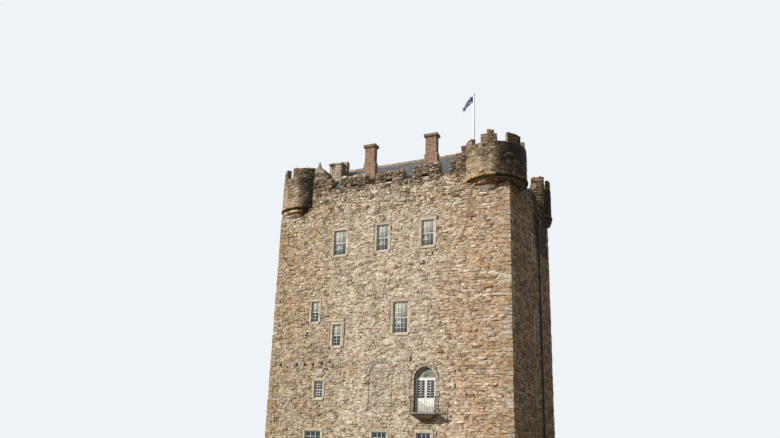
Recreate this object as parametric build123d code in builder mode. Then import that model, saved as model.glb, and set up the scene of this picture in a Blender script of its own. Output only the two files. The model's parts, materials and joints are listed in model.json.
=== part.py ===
from build123d import *
import os
from math import atan2, cos, radians, sin

os.makedirs("parts", exist_ok=True)

# Castle keep: a rectangular tower of rubble stone with corner turrets, in millimetres.
# The origin is the middle of the plan at ground level, the entrance front faces -Y, +Z is up.

# Plan and heights of the walls
tower_width = 18800
tower_depth = 12200
wall_thickness = 3000
wall_head = 20200

# Floors: top level of each and their thickness
ground_floor_thickness = 300
floor_thickness = 400
first_floor_level = 3980
second_floor_level = 8400
third_floor_level = 14900

# Windows: sash set back in the reveal, wider embrasure behind it
reveal_depth = 350
embrasure_splay = 200
sash_setback = 70
sash_depth = 90
sash_bar = 70
meeting_rail = 50
glass_thickness = 12

# Left edge, right edge, sill and head of each window, seen from outside its wall
front_windows = [
    (-4450, -3380, 15700, 17680),
    (-790, 170, 15750, 17750),
    (2830, 3790, 15770, 17750),
    (730, 1900, 9500, 11780),
    (-6090, -5450, 10610, 12190),
    (-4170, -3460, 8750, 10350),
    (-5470, -4760, 5000, 6250),
    (-6020, -4720, 1300, 2700),
    (-640, 480, 1300, 2700),
    (2710, 3730, 1300, 2700),
]
right_windows = [
    (0, 1000, 15900, 17800),
    (300, 1060, 9600, 11800),
    (300, 900, 4940, 6800),
]
back_windows = [
    (-4400, -3400, 15750, 17750),
    (-500, 500, 15750, 17750),
    (3400, 4400, 15750, 17750),
    (-600, 600, 9500, 11780),
    (4900, 5600, 10600, 12200),
    (-5500, -4800, 5000, 6250),
    (4500, 5500, 1300, 2700),
]
left_windows = [
    (-500, 500, 15900, 17800),
    (-400, 400, 9600, 11800),
    (-300, 300, 4940, 6800),
]

# Narrow blind slit in the end of the front wall, on the right side
slit_inset = 1460
slit_width = 260
slit_sill = 5700
slit_height = 520
slit_depth = 500

# Round-headed doorway to the balcony
doorway_left = 2470
doorway_right = 4040
doorway_spring_height = 2355
door_frame = 80
door_setback = 200
door_depth = 90
door_panel_height = 970
transom_height = 110
leaf_stile = 75
leaf_gap = 6

# Entrance at ground level, in the back wall
entrance_centre = 1200
entrance_width = 1200
entrance_height = 2150
entrance_setback = 400
entrance_door_thickness = 90

# Putlog holes left in the front wall: middle, level, width, height
putlog_depth = 300
putlog_holes = [
    (-8500, 7480, 150, 200),
    (-7080, 7480, 150, 200),
    (-6380, 7480, 150, 200),
    (-5690, 7480, 150, 200),
    (-4920, 7480, 150, 200),
    (-3980, 7310, 150, 200),
    (2200, 7670, 120, 300),
]

# Balcony, past the doorway on both sides
balcony_left_overlap = 80
balcony_right_overlap = 250
balcony_reach = 720
balcony_slab_thickness = 80
bracket_inset = 70
bracket_drop = 450
bracket_reach = 650
bracket_tip_width = 640
bracket_tip_shift = 90
railing_height = 1090
railing_bar = 28

# From here on, heights and rises are measured from the wall head
# Parapet: crenels and merlons, a merlon as left edge, right edge and height
parapet_thickness = 600
crenel_height = 1000
front_parapet_blocks = [
    (-tower_width / 2, -5430, 2070),
    (-5430, -4910, 1800),
    (-4150, -1925, 1850),
    (-1100, 1255, 1750),
    (2030, 4160, 1900),
    (4990, 5450, 1940),
    (5450, 5870, 2430),
    (5870, tower_width / 2, 2920),
]
loop_width = 620
loop_height = 280
loop_rise = 920
front_loops = [-2925, 40, 3030]
side_crenel_height = 550
side_merlon_height = 1500
side_merlons = {
    "left_parapet": [(-2500, -420), (820, 3300)],
    "right_parapet": [(-3300, -820), (420, 2320), (3250, 4900)],
}
back_merlon_height = 1800
back_merlon_width = 2150
back_crenel_width = 850

# Wall walk between the parapet and the roof
walk_thickness = 150
gable_walk_width = 1300
eaves_walk_width = 900

# Corner turrets: inset of the centre from both wall faces, radius, heights and merlons
# A corbel course is given as its height and how far it steps in from the course above
# A merlon is given as its start and end angle from +X and its height
turrets = {
    "front_right": {
        "corner": (1, -1),
        "inset": 1400,
        "radius": 2270,
        "wall": 450,
        "merlon_setback": 120,
        "corbel_top": 250,
        "corbel_courses": [(290, 440), (280, 250), (430, 140)],
        "floor": 1450,
        "sill": 2630,
        "merlons": [
            (-172, -124.5, 3220),
            (-102, -70, 3230),
            (-89, -76, 3540),
            (-49.5, -16, 3340),
            (4, 34, 3220),
            (46, 68, 3180),
            (128, 162, 3200),
        ],
        "doorway": (72, 98),
    },
    "front_left": {
        "corner": (-1, -1),
        "inset": 1385,
        "radius": 1955,
        "wall": 400,
        "merlon_setback": 40,
        "corbel_top": -150,
        "corbel_courses": [(270, 240), (320, 150), (270, 70)],
        "floor": 1250,
        "sill": 2270,
        "merlons": [
            (-99, -28, 3020),
            (-162, -123, 3090),
            (-8, 30, 3050),
            (46, 74, 3050),
            (138, 178, 3050),
        ],
        "doorway": (80, 108),
    },
    "back_right": {
        "corner": (1, 1),
        "inset": 480,
        "radius": 960,
        "wall": 300,
        "merlon_setback": 30,
        "corbel_top": 760,
        "corbel_courses": [(340, 90), (270, 90), (200, 90)],
        "floor": 2100,
        "sill": 3180,
        "merlons": [
            (-124, -50, 4200),
            (-26, 12, 3900),
            (40, 84, 4000),
            (110, 160, 4000),
        ],
        "doorway": (-168, -134),
    },
    "back_left": {
        "corner": (-1, 1),
        "inset": 1385,
        "radius": 1955,
        "wall": 400,
        "merlon_setback": 40,
        "corbel_top": -150,
        "corbel_courses": [(270, 240), (320, 150), (270, 70)],
        "floor": 1250,
        "sill": 2270,
        "merlons": [
            (28, 99, 3020),
            (123, 162, 3090),
            (-30, 8, 3050),
            (-74, -46, 3050),
            (-178, -138, 3050),
        ],
        "doorway": (-108, -80),
    },
}

# Roof between two gables
gable_thickness = 600
gable_rise = 260
roof_eaves_height = 700
ridge_height = 5200
roof_thickness = 350
eaves_kerb = 350
ridge_half_width = 190
ridge_thickness = 100
gable_stub_width = 320
gable_stub_height = 660

# Doorway through the left gable, from the wall walk to the roof space
gable_door_start = 900
gable_door_end = 1600
gable_door_height = 1750
gable_door_setback = 120
gable_door_thickness = 60

# Stone chimney astride the left gable, its front face ahead of the ridge
stone_chimney_width = 1180
stone_chimney_depth = 840
stone_chimney_reach = 1770
stone_chimney_top = 5330
stone_coping_height = 140
stone_coping_lip = 70

# Brick chimneys behind the front parapet: left edge, right edge and top of the coping
brick_chimney_clearance = 200
brick_chimney_depth = 450
brick_chimney_ledge = 90
brick_chimney_ledge_height = 3200
brick_coping_height = 200
brick_coping_lip = 100
brick_chimneys = [
    (-2520, -1660, 4730),
    (2680, 3580, 4800),
]

# Pointed merlon of stepped stones beside the front left turret, flush with the front
pointed_merlon_inset = 3076
pointed_merlon_width = 1780
pointed_merlon_foot = 2070
pointed_merlon_height = 1590
pointed_merlon_steps = 5
pointed_merlon_tip_width = 130
pointed_merlon_tip_depth = 180
step_slope_share = 0.8

# Flagpole inside the ring of the front right turret, and flag
flagpole_bearing = 187.4
flagpole_clearance = 182
flagpole_radius = 75
flagpole_tip_radius = 55
flagpole_height = 6250
flagpole_ball_radius = 95
flag_gap = 0.5
flag_hoist = 620
flag_reach = 930
flag_fall = 1250
flag_tip = 260
flag_thickness = 150
flag_heading = 205

# Rainwater pipe on the right wall
downpipe_inset = 3900
downpipe_radius = 65
downpipe_clearance = 60
downpipe_foot = 150
hopper_width = 320
hopper_height = 400
hopper_drop = 550
holderbat_spacing = 2400
holderbat_height = 60

# Worked out from the sizes above
half_width = tower_width / 2
half_depth = tower_depth / 2
inner_width = tower_width - 2 * wall_thickness
inner_depth = tower_depth - 2 * wall_thickness
front_face = Plane(origin=(0, -half_depth, 0), x_dir=(1, 0, 0), z_dir=(0, -1, 0))
right_face = Plane(origin=(half_width, 0, 0), x_dir=(0, 1, 0), z_dir=(1, 0, 0))
back_face = Plane(origin=(0, half_depth, 0), x_dir=(-1, 0, 0), z_dir=(0, 1, 0))
left_face = Plane(origin=(-half_width, 0, 0), x_dir=(0, -1, 0), z_dir=(-1, 0, 0))
doorway_sill = first_floor_level
doorway_spring = doorway_sill + doorway_spring_height
doorway_radius = (doorway_right - doorway_left) / 2
doorway_middle = (doorway_left + doorway_right) / 2
gable_outer_x = half_width - parapet_thickness - gable_walk_width
gable_inner_x = gable_outer_x - gable_thickness
roof_eaves_y = half_depth - parapet_thickness - eaves_walk_width
roof_eaves_level = wall_head + roof_eaves_height
ridge_level = wall_head + ridge_height
stone_chimney_centre_x = -(gable_outer_x + gable_inner_x) / 2
stone_chimney_centre_y = stone_chimney_depth / 2 - stone_chimney_reach
brick_chimney_front_y = -half_depth + parapet_thickness + brick_chimney_clearance
brick_chimney_centre_y = brick_chimney_front_y + brick_chimney_depth / 2
clear_height = ridge_height + gable_rise + gable_stub_height

for turret in turrets.values():
    side_x, side_y = turret["corner"]
    turret["x"] = side_x * (half_width - turret["inset"])
    turret["y"] = side_y * (half_depth - turret["inset"])

# The whole space of each turret, from the foot of its corbel to above the roof
turret_wells = {}
for name, turret in turrets.items():
    centre_x, centre_y = turret["x"], turret["y"]
    with BuildPart() as well:
        with BuildSketch(Plane(origin=(centre_x, centre_y, 0), x_dir=(1, 0, 0), z_dir=(0, -1, 0))):
            with BuildLine():
                top = wall_head + clear_height
                sill_level = wall_head + turret["sill"]
                level = wall_head + turret["corbel_top"]
                reach = turret["radius"]
                merlon_reach = reach - turret["merlon_setback"]
                Polyline(
                    (0, top),
                    (merlon_reach, top),
                    (merlon_reach, sill_level),
                    (reach, sill_level),
                    (reach, level),
                )
                for course, ledge in turret["corbel_courses"]:
                    roll = (ledge**2 + course**2) / (2 * ledge)
                    half_turn = atan2(course, roll - ledge) / 2
                    ThreePointArc(
                        (reach, level),
                        (reach - roll * (1 - cos(half_turn)), level - roll * sin(half_turn)),
                        (reach - ledge, level - course),
                    )
                    level -= course
                    reach -= ledge
                Polyline((reach, level), (0, level), (0, top))
            make_face()
        revolve(axis=Axis((centre_x, centre_y, 0), (0, 0, 1)))
    turret_wells[name] = well.part

# The space below the wall head that the four walls and the rooms take up
with BuildPart() as wall_block:
    with BuildSketch(Plane.XY):
        Rectangle(tower_width, tower_depth)
    extrude(amount=wall_head)

# The footprints of what stands on the wall head behind the parapet
with BuildPart() as standing_block:
    with BuildSketch(Plane.XY.offset(wall_head)):
        with Locations((stone_chimney_centre_x, stone_chimney_centre_y)):
            Rectangle(stone_chimney_width, stone_chimney_depth)
        for left, right, top in brick_chimneys:
            with Locations(((left + right) / 2, brick_chimney_centre_y)):
                Rectangle(right - left + 2 * brick_chimney_ledge, brick_chimney_depth)
    extrude(amount=clear_height)

# Front wall, with its windows, the balcony doorway and the putlog holes
with BuildPart() as front_wall:
    with BuildSketch(Plane.XY):
        with Locations((0, (wall_thickness - tower_depth) / 2)):
            Rectangle(tower_width, wall_thickness)
    extrude(amount=wall_head)
    with BuildSketch(front_face):
        for left, right, sill, head in front_windows:
            with Locations(((left + right) / 2, (sill + head) / 2)):
                Rectangle(right - left, head - sill)
        with Locations((doorway_middle, (doorway_sill + doorway_spring) / 2)):
            Rectangle(2 * doorway_radius, doorway_spring - doorway_sill)
        with Locations((doorway_middle, doorway_spring)):
            Circle(doorway_radius)
    extrude(amount=-wall_thickness, mode=Mode.SUBTRACT)
    with BuildSketch(front_face.offset(-reveal_depth)):
        for left, right, sill, head in front_windows:
            with Locations(((left + right) / 2, (sill + head + embrasure_splay) / 2)):
                Rectangle(right - left + 2 * embrasure_splay, head - sill + embrasure_splay)
    extrude(amount=reveal_depth - wall_thickness, mode=Mode.SUBTRACT)
    with BuildSketch(front_face):
        for middle, level, width, height in putlog_holes:
            with Locations((middle, level)):
                Rectangle(width, height)
    extrude(amount=-putlog_depth, mode=Mode.SUBTRACT)
    with BuildSketch(right_face):
        with Locations((slit_inset + (slit_width - tower_depth) / 2, slit_sill + slit_height / 2)):
            Rectangle(slit_width, slit_height)
    extrude(amount=-slit_depth, mode=Mode.SUBTRACT)

# The front wall comes in two lifts of masonry that meet at the second floor
for name, kept_side in {"front_wall": Keep.BOTTOM, "front_wall_upper": Keep.TOP}.items():
    with BuildPart() as lift:
        add(front_wall.part)
        split(bisect_by=Plane.XY.offset(second_floor_level), keep=kept_side)
    lift.part.label = name
    export_step(lift.part, f"parts/{name}.step")

# Back wall, with its windows and the entrance
with BuildPart() as back_wall:
    with BuildSketch(Plane.XY):
        with Locations((0, (tower_depth - wall_thickness) / 2)):
            Rectangle(tower_width, wall_thickness)
    extrude(amount=wall_head)
    with BuildSketch(back_face):
        for left, right, sill, head in back_windows:
            with Locations(((left + right) / 2, (sill + head) / 2)):
                Rectangle(right - left, head - sill)
        with Locations((entrance_centre, ground_floor_thickness + entrance_height / 2)):
            Rectangle(entrance_width, entrance_height)
    extrude(amount=-wall_thickness, mode=Mode.SUBTRACT)
    with BuildSketch(back_face.offset(-reveal_depth)):
        for left, right, sill, head in back_windows:
            with Locations(((left + right) / 2, (sill + head + embrasure_splay) / 2)):
                Rectangle(right - left + 2 * embrasure_splay, head - sill + embrasure_splay)
    extrude(amount=reveal_depth - wall_thickness, mode=Mode.SUBTRACT)
back_wall.part.label = "back_wall"
export_step(back_wall.part, "parts/back_wall.step")

# Side walls, between the front and back walls
side_walls = {
    "left_wall": (left_face, left_windows),
    "right_wall": (right_face, right_windows),
}
for name, (face, windows) in side_walls.items():
    with BuildPart() as side_wall:
        with BuildSketch(face):
            with Locations((0, wall_head / 2)):
                Rectangle(inner_depth, wall_head)
        extrude(amount=-wall_thickness)
        with BuildSketch(face):
            for left, right, sill, head in windows:
                with Locations(((left + right) / 2, (sill + head) / 2)):
                    Rectangle(right - left, head - sill)
        extrude(amount=-wall_thickness, mode=Mode.SUBTRACT)
        with BuildSketch(face.offset(-reveal_depth)):
            for left, right, sill, head in windows:
                with Locations(((left + right) / 2, (sill + head + embrasure_splay) / 2)):
                    Rectangle(right - left + 2 * embrasure_splay, head - sill + embrasure_splay)
        extrude(amount=reveal_depth - wall_thickness, mode=Mode.SUBTRACT)
    side_wall.part.label = name
    export_step(side_wall.part, f"parts/{name}.step")

# Floors, one for each storey
floors = {
    "ground_floor": (ground_floor_thickness, ground_floor_thickness),
    "first_floor": (first_floor_level, floor_thickness),
    "second_floor": (second_floor_level, floor_thickness),
    "third_floor": (third_floor_level, floor_thickness),
}
for name, (level, thickness) in floors.items():
    with BuildPart() as floor:
        with BuildSketch(Plane.XY.offset(level)):
            Rectangle(inner_width, inner_depth)
        extrude(amount=-thickness)
    floor.part.label = name
    export_step(floor.part, f"parts/{name}.step")

# Sash windows: the white frames of each wall, and the glass of them all
window_groups = {
    "front": (front_face, front_windows),
    "right": (right_face, right_windows),
    "back": (back_face, back_windows),
    "left": (left_face, left_windows),
}
for name, (face, windows) in window_groups.items():
    with BuildPart() as sashes:
        with BuildSketch(face.offset(-sash_setback)):
            for left, right, sill, head in windows:
                with Locations(((left + right) / 2, (sill + head) / 2)):
                    Rectangle(right - left, head - sill)
                    Rectangle(
                        right - left - 2 * sash_bar, head - sill - 2 * sash_bar, mode=Mode.SUBTRACT
                    )
                    Rectangle(right - left - sash_bar, meeting_rail)
        extrude(amount=-sash_depth)
    sashes.part.label = f"{name}_sashes"
    export_step(sashes.part, f"parts/{name}_sashes.step")

with BuildPart() as window_glass:
    for face, windows in window_groups.values():
        with BuildSketch(face.offset(-sash_setback - (sash_depth - glass_thickness) / 2)):
            for left, right, sill, head in windows:
                with Locations(((left + right) / 2, (sill + head) / 2)):
                    Rectangle(right - left - 2 * sash_bar, head - sill - 2 * sash_bar)
                    Rectangle(right - left - 2 * sash_bar, meeting_rail, mode=Mode.SUBTRACT)
        extrude(amount=-glass_thickness)
window_glass.part.label = "window_glass"
export_step(window_glass.part, "parts/window_glass.step")

# Balcony doors: the arched frame with its transom, the two leaves, and their glass
door_plane = front_face.offset(-door_setback)
with BuildPart() as balcony_door_frame:
    with BuildSketch(door_plane):
        with Locations((doorway_middle, (doorway_sill + doorway_spring) / 2)):
            Rectangle(2 * doorway_radius, doorway_spring - doorway_sill)
        with Locations((doorway_middle, doorway_spring)):
            Circle(doorway_radius)
            Circle(doorway_radius - door_frame, mode=Mode.SUBTRACT)
        with Locations((doorway_middle, (doorway_sill + doorway_spring) / 2)):
            Rectangle(
                2 * (doorway_radius - door_frame), doorway_spring - doorway_sill, mode=Mode.SUBTRACT
            )
        with Locations((doorway_middle, doorway_spring)):
            Rectangle(2 * doorway_radius - door_frame, transom_height)
    extrude(amount=-door_depth)
balcony_door_frame.part.label = "balcony_door_frame"
export_step(balcony_door_frame.part, "parts/balcony_door_frame.step")

leaf_width = (2 * (doorway_radius - door_frame) - 3 * leaf_gap) / 2
leaf_bottom = doorway_sill + leaf_gap
leaf_top = doorway_spring - transom_height / 2
leaf_glass_bottom = doorway_sill + door_panel_height + leaf_stile
leaf_glass_height = leaf_top - leaf_stile - leaf_glass_bottom
leaf_middles = [
    doorway_middle - (leaf_gap + leaf_width) / 2,
    doorway_middle + (leaf_gap + leaf_width) / 2,
]
with BuildPart() as balcony_doors:
    with BuildSketch(door_plane):
        for middle in leaf_middles:
            with Locations((middle, (leaf_bottom + leaf_top) / 2)):
                Rectangle(leaf_width, leaf_top - leaf_bottom)
            with Locations((middle, leaf_glass_bottom + leaf_glass_height / 2)):
                Rectangle(leaf_width - 2 * leaf_stile, leaf_glass_height, mode=Mode.SUBTRACT)
    extrude(amount=-door_depth)
balcony_doors.part.label = "balcony_doors"
export_step(balcony_doors.part, "parts/balcony_doors.step")

with BuildPart() as balcony_door_glass:
    with BuildSketch(door_plane.offset(-(door_depth - glass_thickness) / 2)):
        for middle in leaf_middles:
            with Locations((middle, leaf_glass_bottom + leaf_glass_height / 2)):
                Rectangle(leaf_width - 2 * leaf_stile, leaf_glass_height)
        with BuildLine():
            fanlight = CenterArc(
                (doorway_middle, doorway_spring), doorway_radius - door_frame, 0, 180
            )
            Line(fanlight @ 0, fanlight @ 1)
        make_face()
        with Locations((doorway_middle, doorway_spring)):
            Rectangle(2 * doorway_radius, transom_height, mode=Mode.SUBTRACT)
    extrude(amount=-glass_thickness)
balcony_door_glass.part.label = "balcony_door_glass"
export_step(balcony_door_glass.part, "parts/balcony_door_glass.step")

# Balcony: slab, curved bracket below it, and wrought railing
balcony_left = doorway_left - balcony_left_overlap
balcony_right = doorway_right + balcony_right_overlap
balcony_middle = (balcony_left + balcony_right) / 2
balcony_length = balcony_right - balcony_left
with BuildPart() as balcony_slab:
    with BuildSketch(front_face):
        with Locations((balcony_middle, doorway_sill - balcony_slab_thickness / 2)):
            Rectangle(balcony_length, balcony_slab_thickness)
    extrude(amount=balcony_reach)
balcony_slab.part.label = "balcony_slab"
export_step(balcony_slab.part, "parts/balcony_slab.step")

bracket_top = doorway_sill - balcony_slab_thickness
bracket_width = balcony_length - 2 * bracket_inset
bracket_plane = Plane(
    origin=(balcony_left + bracket_inset, -half_depth, bracket_top), x_dir=(0, -1, 0), z_dir=(-1, 0, 0)
)
with BuildPart() as balcony_bracket:
    with BuildSketch(bracket_plane):
        with BuildLine():
            Line((0, -bracket_drop), (0, 0))
            Line((0, 0), (bracket_reach, 0))
            ThreePointArc(
                (bracket_reach, 0),
                (bracket_reach * cos(radians(45)), -bracket_drop * sin(radians(45))),
                (0, -bracket_drop),
            )
        make_face()
    extrude(amount=-bracket_width)
    with BuildSketch(front_face):
        with Locations((balcony_middle, bracket_top)):
            Polygon(
                (-bracket_width / 2, 0),
                (bracket_tip_shift - bracket_tip_width / 2, -bracket_drop),
                (bracket_tip_shift + bracket_tip_width / 2, -bracket_drop),
                (bracket_width / 2, 0),
                align=None,
            )
    extrude(amount=bracket_reach, mode=Mode.INTERSECT)
balcony_bracket.part.label = "balcony_bracket"
export_step(balcony_bracket.part, "parts/balcony_bracket.step")

with BuildPart() as balcony_railing:
    with BuildSketch(Plane.XY.offset(doorway_sill)):
        for x in (balcony_left + railing_bar / 2, balcony_right - railing_bar / 2):
            for y in (-half_depth - railing_bar / 2, -half_depth - balcony_reach + railing_bar / 2):
                with Locations((x, y)):
                    Rectangle(railing_bar, railing_bar)
    extrude(amount=railing_height)
    for level in (doorway_sill + 2 * railing_bar, doorway_sill + railing_height - railing_bar):
        with BuildSketch(Plane.XY.offset(level)):
            with Locations((balcony_middle, -half_depth - balcony_reach / 2)):
                Rectangle(balcony_length, balcony_reach)
            with Locations((balcony_middle, -half_depth - (balcony_reach - railing_bar) / 2)):
                Rectangle(
                    balcony_length - 2 * railing_bar, balcony_reach - railing_bar, mode=Mode.SUBTRACT
                )
        extrude(amount=railing_bar)
balcony_railing.part.label = "balcony_railing"
export_step(balcony_railing.part, "parts/balcony_railing.step")

# Entrance door of the back wall
with BuildPart() as entrance_door:
    with BuildSketch(back_face.offset(-entrance_setback)):
        with Locations((entrance_centre, ground_floor_thickness + entrance_height / 2)):
            Rectangle(entrance_width, entrance_height)
    extrude(amount=-entrance_door_thickness)
entrance_door.part.label = "entrance_door"
export_step(entrance_door.part, "parts/entrance_door.step")

# Wall walk: flags on the wall head between the parapet and the roof
with BuildPart() as wall_walk:
    with BuildSketch(Plane.XY.offset(wall_head)):
        Rectangle(tower_width - 2 * parapet_thickness, tower_depth - 2 * parapet_thickness)
        Rectangle(2 * gable_outer_x, 2 * roof_eaves_y, mode=Mode.SUBTRACT)
    extrude(amount=walk_thickness)
    for well in turret_wells.values():
        add(well, mode=Mode.SUBTRACT)
    add(standing_block.part, mode=Mode.SUBTRACT)
wall_walk.part.label = "wall_walk"
export_step(wall_walk.part, "parts/wall_walk.step")

# Front parapet, with its merlons, its loops and the steps up to the right turret
with BuildPart() as front_parapet:
    with BuildSketch(front_face):
        with Locations((0, wall_head + crenel_height / 2)):
            Rectangle(tower_width, crenel_height)
        for left, right, height in front_parapet_blocks:
            with Locations(((left + right) / 2, wall_head + height / 2)):
                Rectangle(right - left, height)
        for middle in front_loops:
            with Locations((middle, wall_head + loop_rise + loop_height / 2)):
                Rectangle(loop_width, loop_height, mode=Mode.SUBTRACT)
    extrude(amount=-parapet_thickness)
    for well in turret_wells.values():
        add(well, mode=Mode.SUBTRACT)
front_parapet.part.label = "front_parapet"
export_step(front_parapet.part, "parts/front_parapet.step")

# Back parapet, with even merlons
back_pitch = back_merlon_width + back_crenel_width
back_merlon_count = int(tower_width / back_pitch)
with BuildPart() as back_parapet:
    with BuildSketch(back_face):
        with Locations((0, wall_head + crenel_height / 2)):
            Rectangle(tower_width, crenel_height)
        with Locations((0, wall_head + (crenel_height + back_merlon_height) / 2)):
            with GridLocations(back_pitch, back_pitch, back_merlon_count, 1):
                Rectangle(back_merlon_width, back_merlon_height - crenel_height)
    extrude(amount=-parapet_thickness)
    for well in turret_wells.values():
        add(well, mode=Mode.SUBTRACT)
back_parapet.part.label = "back_parapet"
export_step(back_parapet.part, "parts/back_parapet.step")

# Side parapets, between the front and back ones
side_length = tower_depth - 2 * parapet_thickness
for name, face in {"left_parapet": left_face, "right_parapet": right_face}.items():
    with BuildPart() as side_parapet:
        with BuildSketch(face):
            with Locations((0, wall_head + side_crenel_height / 2)):
                Rectangle(side_length, side_crenel_height)
            for left, right in side_merlons[name]:
                with Locations(((left + right) / 2, wall_head + side_merlon_height / 2)):
                    Rectangle(right - left, side_merlon_height)
        extrude(amount=-parapet_thickness)
        for well in turret_wells.values():
            add(well, mode=Mode.SUBTRACT)
    side_parapet.part.label = name
    export_step(side_parapet.part, f"parts/{name}.step")

# Turrets: a drum on moulded corbel courses, and the crenellated ring on top of it
for name, turret in turrets.items():
    centre_x, centre_y = turret["x"], turret["y"]
    radius, wall = turret["radius"], turret["wall"]
    floor_level = wall_head + turret["floor"]
    sill_level = wall_head + turret["sill"]
    with BuildPart() as drum:
        add(turret_wells[name])
        split(bisect_by=Plane.XY.offset(floor_level), keep=Keep.BOTTOM)
        add(wall_block.part, mode=Mode.SUBTRACT)
    drum.part.label = f"{name}_turret"
    export_step(drum.part, f"parts/{name}_turret.step")

    with BuildPart() as ring:
        with BuildSketch(Plane(origin=(centre_x, centre_y, floor_level))):
            Circle(radius)
            Circle(radius - wall, mode=Mode.SUBTRACT)
        extrude(amount=sill_level - floor_level)
        for start, end, height in turret["merlons"]:
            with BuildSketch(Plane(origin=(centre_x, centre_y, sill_level))):
                with BuildLine():
                    outer = CenterArc((0, 0), radius - turret["merlon_setback"], start, end - start)
                    inner = CenterArc((0, 0), radius - wall, start, end - start)
                    Line(outer @ 0, inner @ 0)
                    Line(outer @ 1, inner @ 1)
                make_face()
            extrude(amount=height - turret["sill"])
        start, end = turret["doorway"]
        with BuildSketch(Plane(origin=(centre_x, centre_y, floor_level))):
            with BuildLine():
                outer = CenterArc((0, 0), radius + wall, start, end - start)
                inner = CenterArc((0, 0), radius - 2 * wall, start, end - start)
                Line(outer @ 0, inner @ 0)
                Line(outer @ 1, inner @ 1)
            make_face()
        extrude(amount=clear_height, mode=Mode.SUBTRACT)
    ring.part.label = f"{name}_turret_parapet"
    export_step(ring.part, f"parts/{name}_turret_parapet.step")

# Pointed merlon, its steps narrowing to a tip
merlon_course = pointed_merlon_height / pointed_merlon_steps
merlon_width_step = (pointed_merlon_width - pointed_merlon_tip_width) / pointed_merlon_steps
merlon_depth_step = (parapet_thickness - pointed_merlon_tip_depth) / pointed_merlon_steps
pointed_merlon_x = -half_width + pointed_merlon_inset
with BuildPart() as pointed_merlon:
    for step in range(pointed_merlon_steps):
        low_level = wall_head + pointed_merlon_foot + merlon_course * step
        low_width = pointed_merlon_width - merlon_width_step * step
        low_depth = parapet_thickness - merlon_depth_step * step
        high_width = low_width - step_slope_share * merlon_width_step
        high_depth = low_depth - step_slope_share * merlon_depth_step
        with BuildSketch(Plane(origin=(pointed_merlon_x, low_depth / 2 - half_depth, low_level))):
            Rectangle(low_width, low_depth)
        high_level = low_level + merlon_course
        with BuildSketch(Plane(origin=(pointed_merlon_x, high_depth / 2 - half_depth, high_level))):
            Rectangle(high_width, high_depth)
        loft()
    add(turret_wells["front_left"], mode=Mode.SUBTRACT)
pointed_merlon.part.label = "pointed_merlon"
export_step(pointed_merlon.part, "parts/pointed_merlon.step")

# Roof slopes, seated on a kerb along the wall head, and the ridge stones
roof_slope = (ridge_level - roof_eaves_level) / roof_eaves_y
kerb_inner_y = roof_eaves_y - eaves_kerb
for name, side in {"roof_front_slope": -1, "roof_back_slope": 1}.items():
    with BuildPart() as slope:
        with BuildSketch(Plane(origin=(-gable_inner_x, 0, 0), x_dir=(0, 1, 0), z_dir=(1, 0, 0))):
            Polygon(
                (side * roof_eaves_y, wall_head),
                (side * roof_eaves_y, roof_eaves_level),
                (0, ridge_level),
                (0, ridge_level - roof_thickness),
                (side * kerb_inner_y, ridge_level - roof_thickness - roof_slope * kerb_inner_y),
                (side * kerb_inner_y, wall_head),
                align=None,
            )
        extrude(amount=2 * gable_inner_x)
        add(standing_block.part, mode=Mode.SUBTRACT)
        for well in turret_wells.values():
            add(well, mode=Mode.SUBTRACT)
    slope.part.label = name
    export_step(slope.part, f"parts/{name}.step")

ridge_drop = roof_slope * ridge_half_width
with BuildPart() as roof_ridge:
    with BuildSketch(Plane(origin=(-gable_inner_x, 0, ridge_level), x_dir=(0, 1, 0), z_dir=(1, 0, 0))):
        Polygon(
            (-ridge_half_width, -ridge_drop),
            (0, 0),
            (ridge_half_width, -ridge_drop),
            (ridge_half_width, ridge_thickness - ridge_drop),
            (0, ridge_thickness),
            (-ridge_half_width, ridge_thickness - ridge_drop),
            align=None,
        )
    extrude(amount=2 * gable_inner_x)
roof_ridge.part.label = "roof_ridge"
export_step(roof_ridge.part, "parts/roof_ridge.step")

# Gables on the side walls, the left one with a stub of stone on its apex and a doorway
gable_door_middle = (gable_door_start + gable_door_end) / 2
gable_door_level = wall_head + walk_thickness + gable_door_height / 2
gable_top = ridge_level + gable_rise
for name, start_x in {"left_gable": -gable_outer_x, "right_gable": gable_inner_x}.items():
    with BuildPart() as gable:
        with BuildSketch(Plane(origin=(start_x, 0, 0), x_dir=(0, 1, 0), z_dir=(1, 0, 0))):
            Polygon(
                (-roof_eaves_y, wall_head),
                (-roof_eaves_y, roof_eaves_level + gable_rise),
                (0, gable_top),
                (roof_eaves_y, roof_eaves_level + gable_rise),
                (roof_eaves_y, wall_head),
                align=None,
            )
            if name == "left_gable":
                with Locations((0, ridge_level + (gable_rise + gable_stub_height) / 2)):
                    Rectangle(gable_stub_width, gable_rise + gable_stub_height)
                with Locations((gable_door_middle, gable_door_level)):
                    Rectangle(
                        gable_door_end - gable_door_start, gable_door_height, mode=Mode.SUBTRACT
                    )
        extrude(amount=gable_thickness)
        add(standing_block.part, mode=Mode.SUBTRACT)
        for well in turret_wells.values():
            add(well, mode=Mode.SUBTRACT)
    gable.part.label = name
    export_step(gable.part, f"parts/{name}.step")

gable_door_x = gable_door_setback - gable_outer_x
with BuildPart() as gable_door:
    with BuildSketch(Plane(origin=(gable_door_x, 0, 0), x_dir=(0, 1, 0), z_dir=(1, 0, 0))):
        with Locations((gable_door_middle, gable_door_level)):
            Rectangle(gable_door_end - gable_door_start, gable_door_height)
    extrude(amount=gable_door_thickness)
gable_door.part.label = "gable_door"
export_step(gable_door.part, "parts/gable_door.step")

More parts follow.
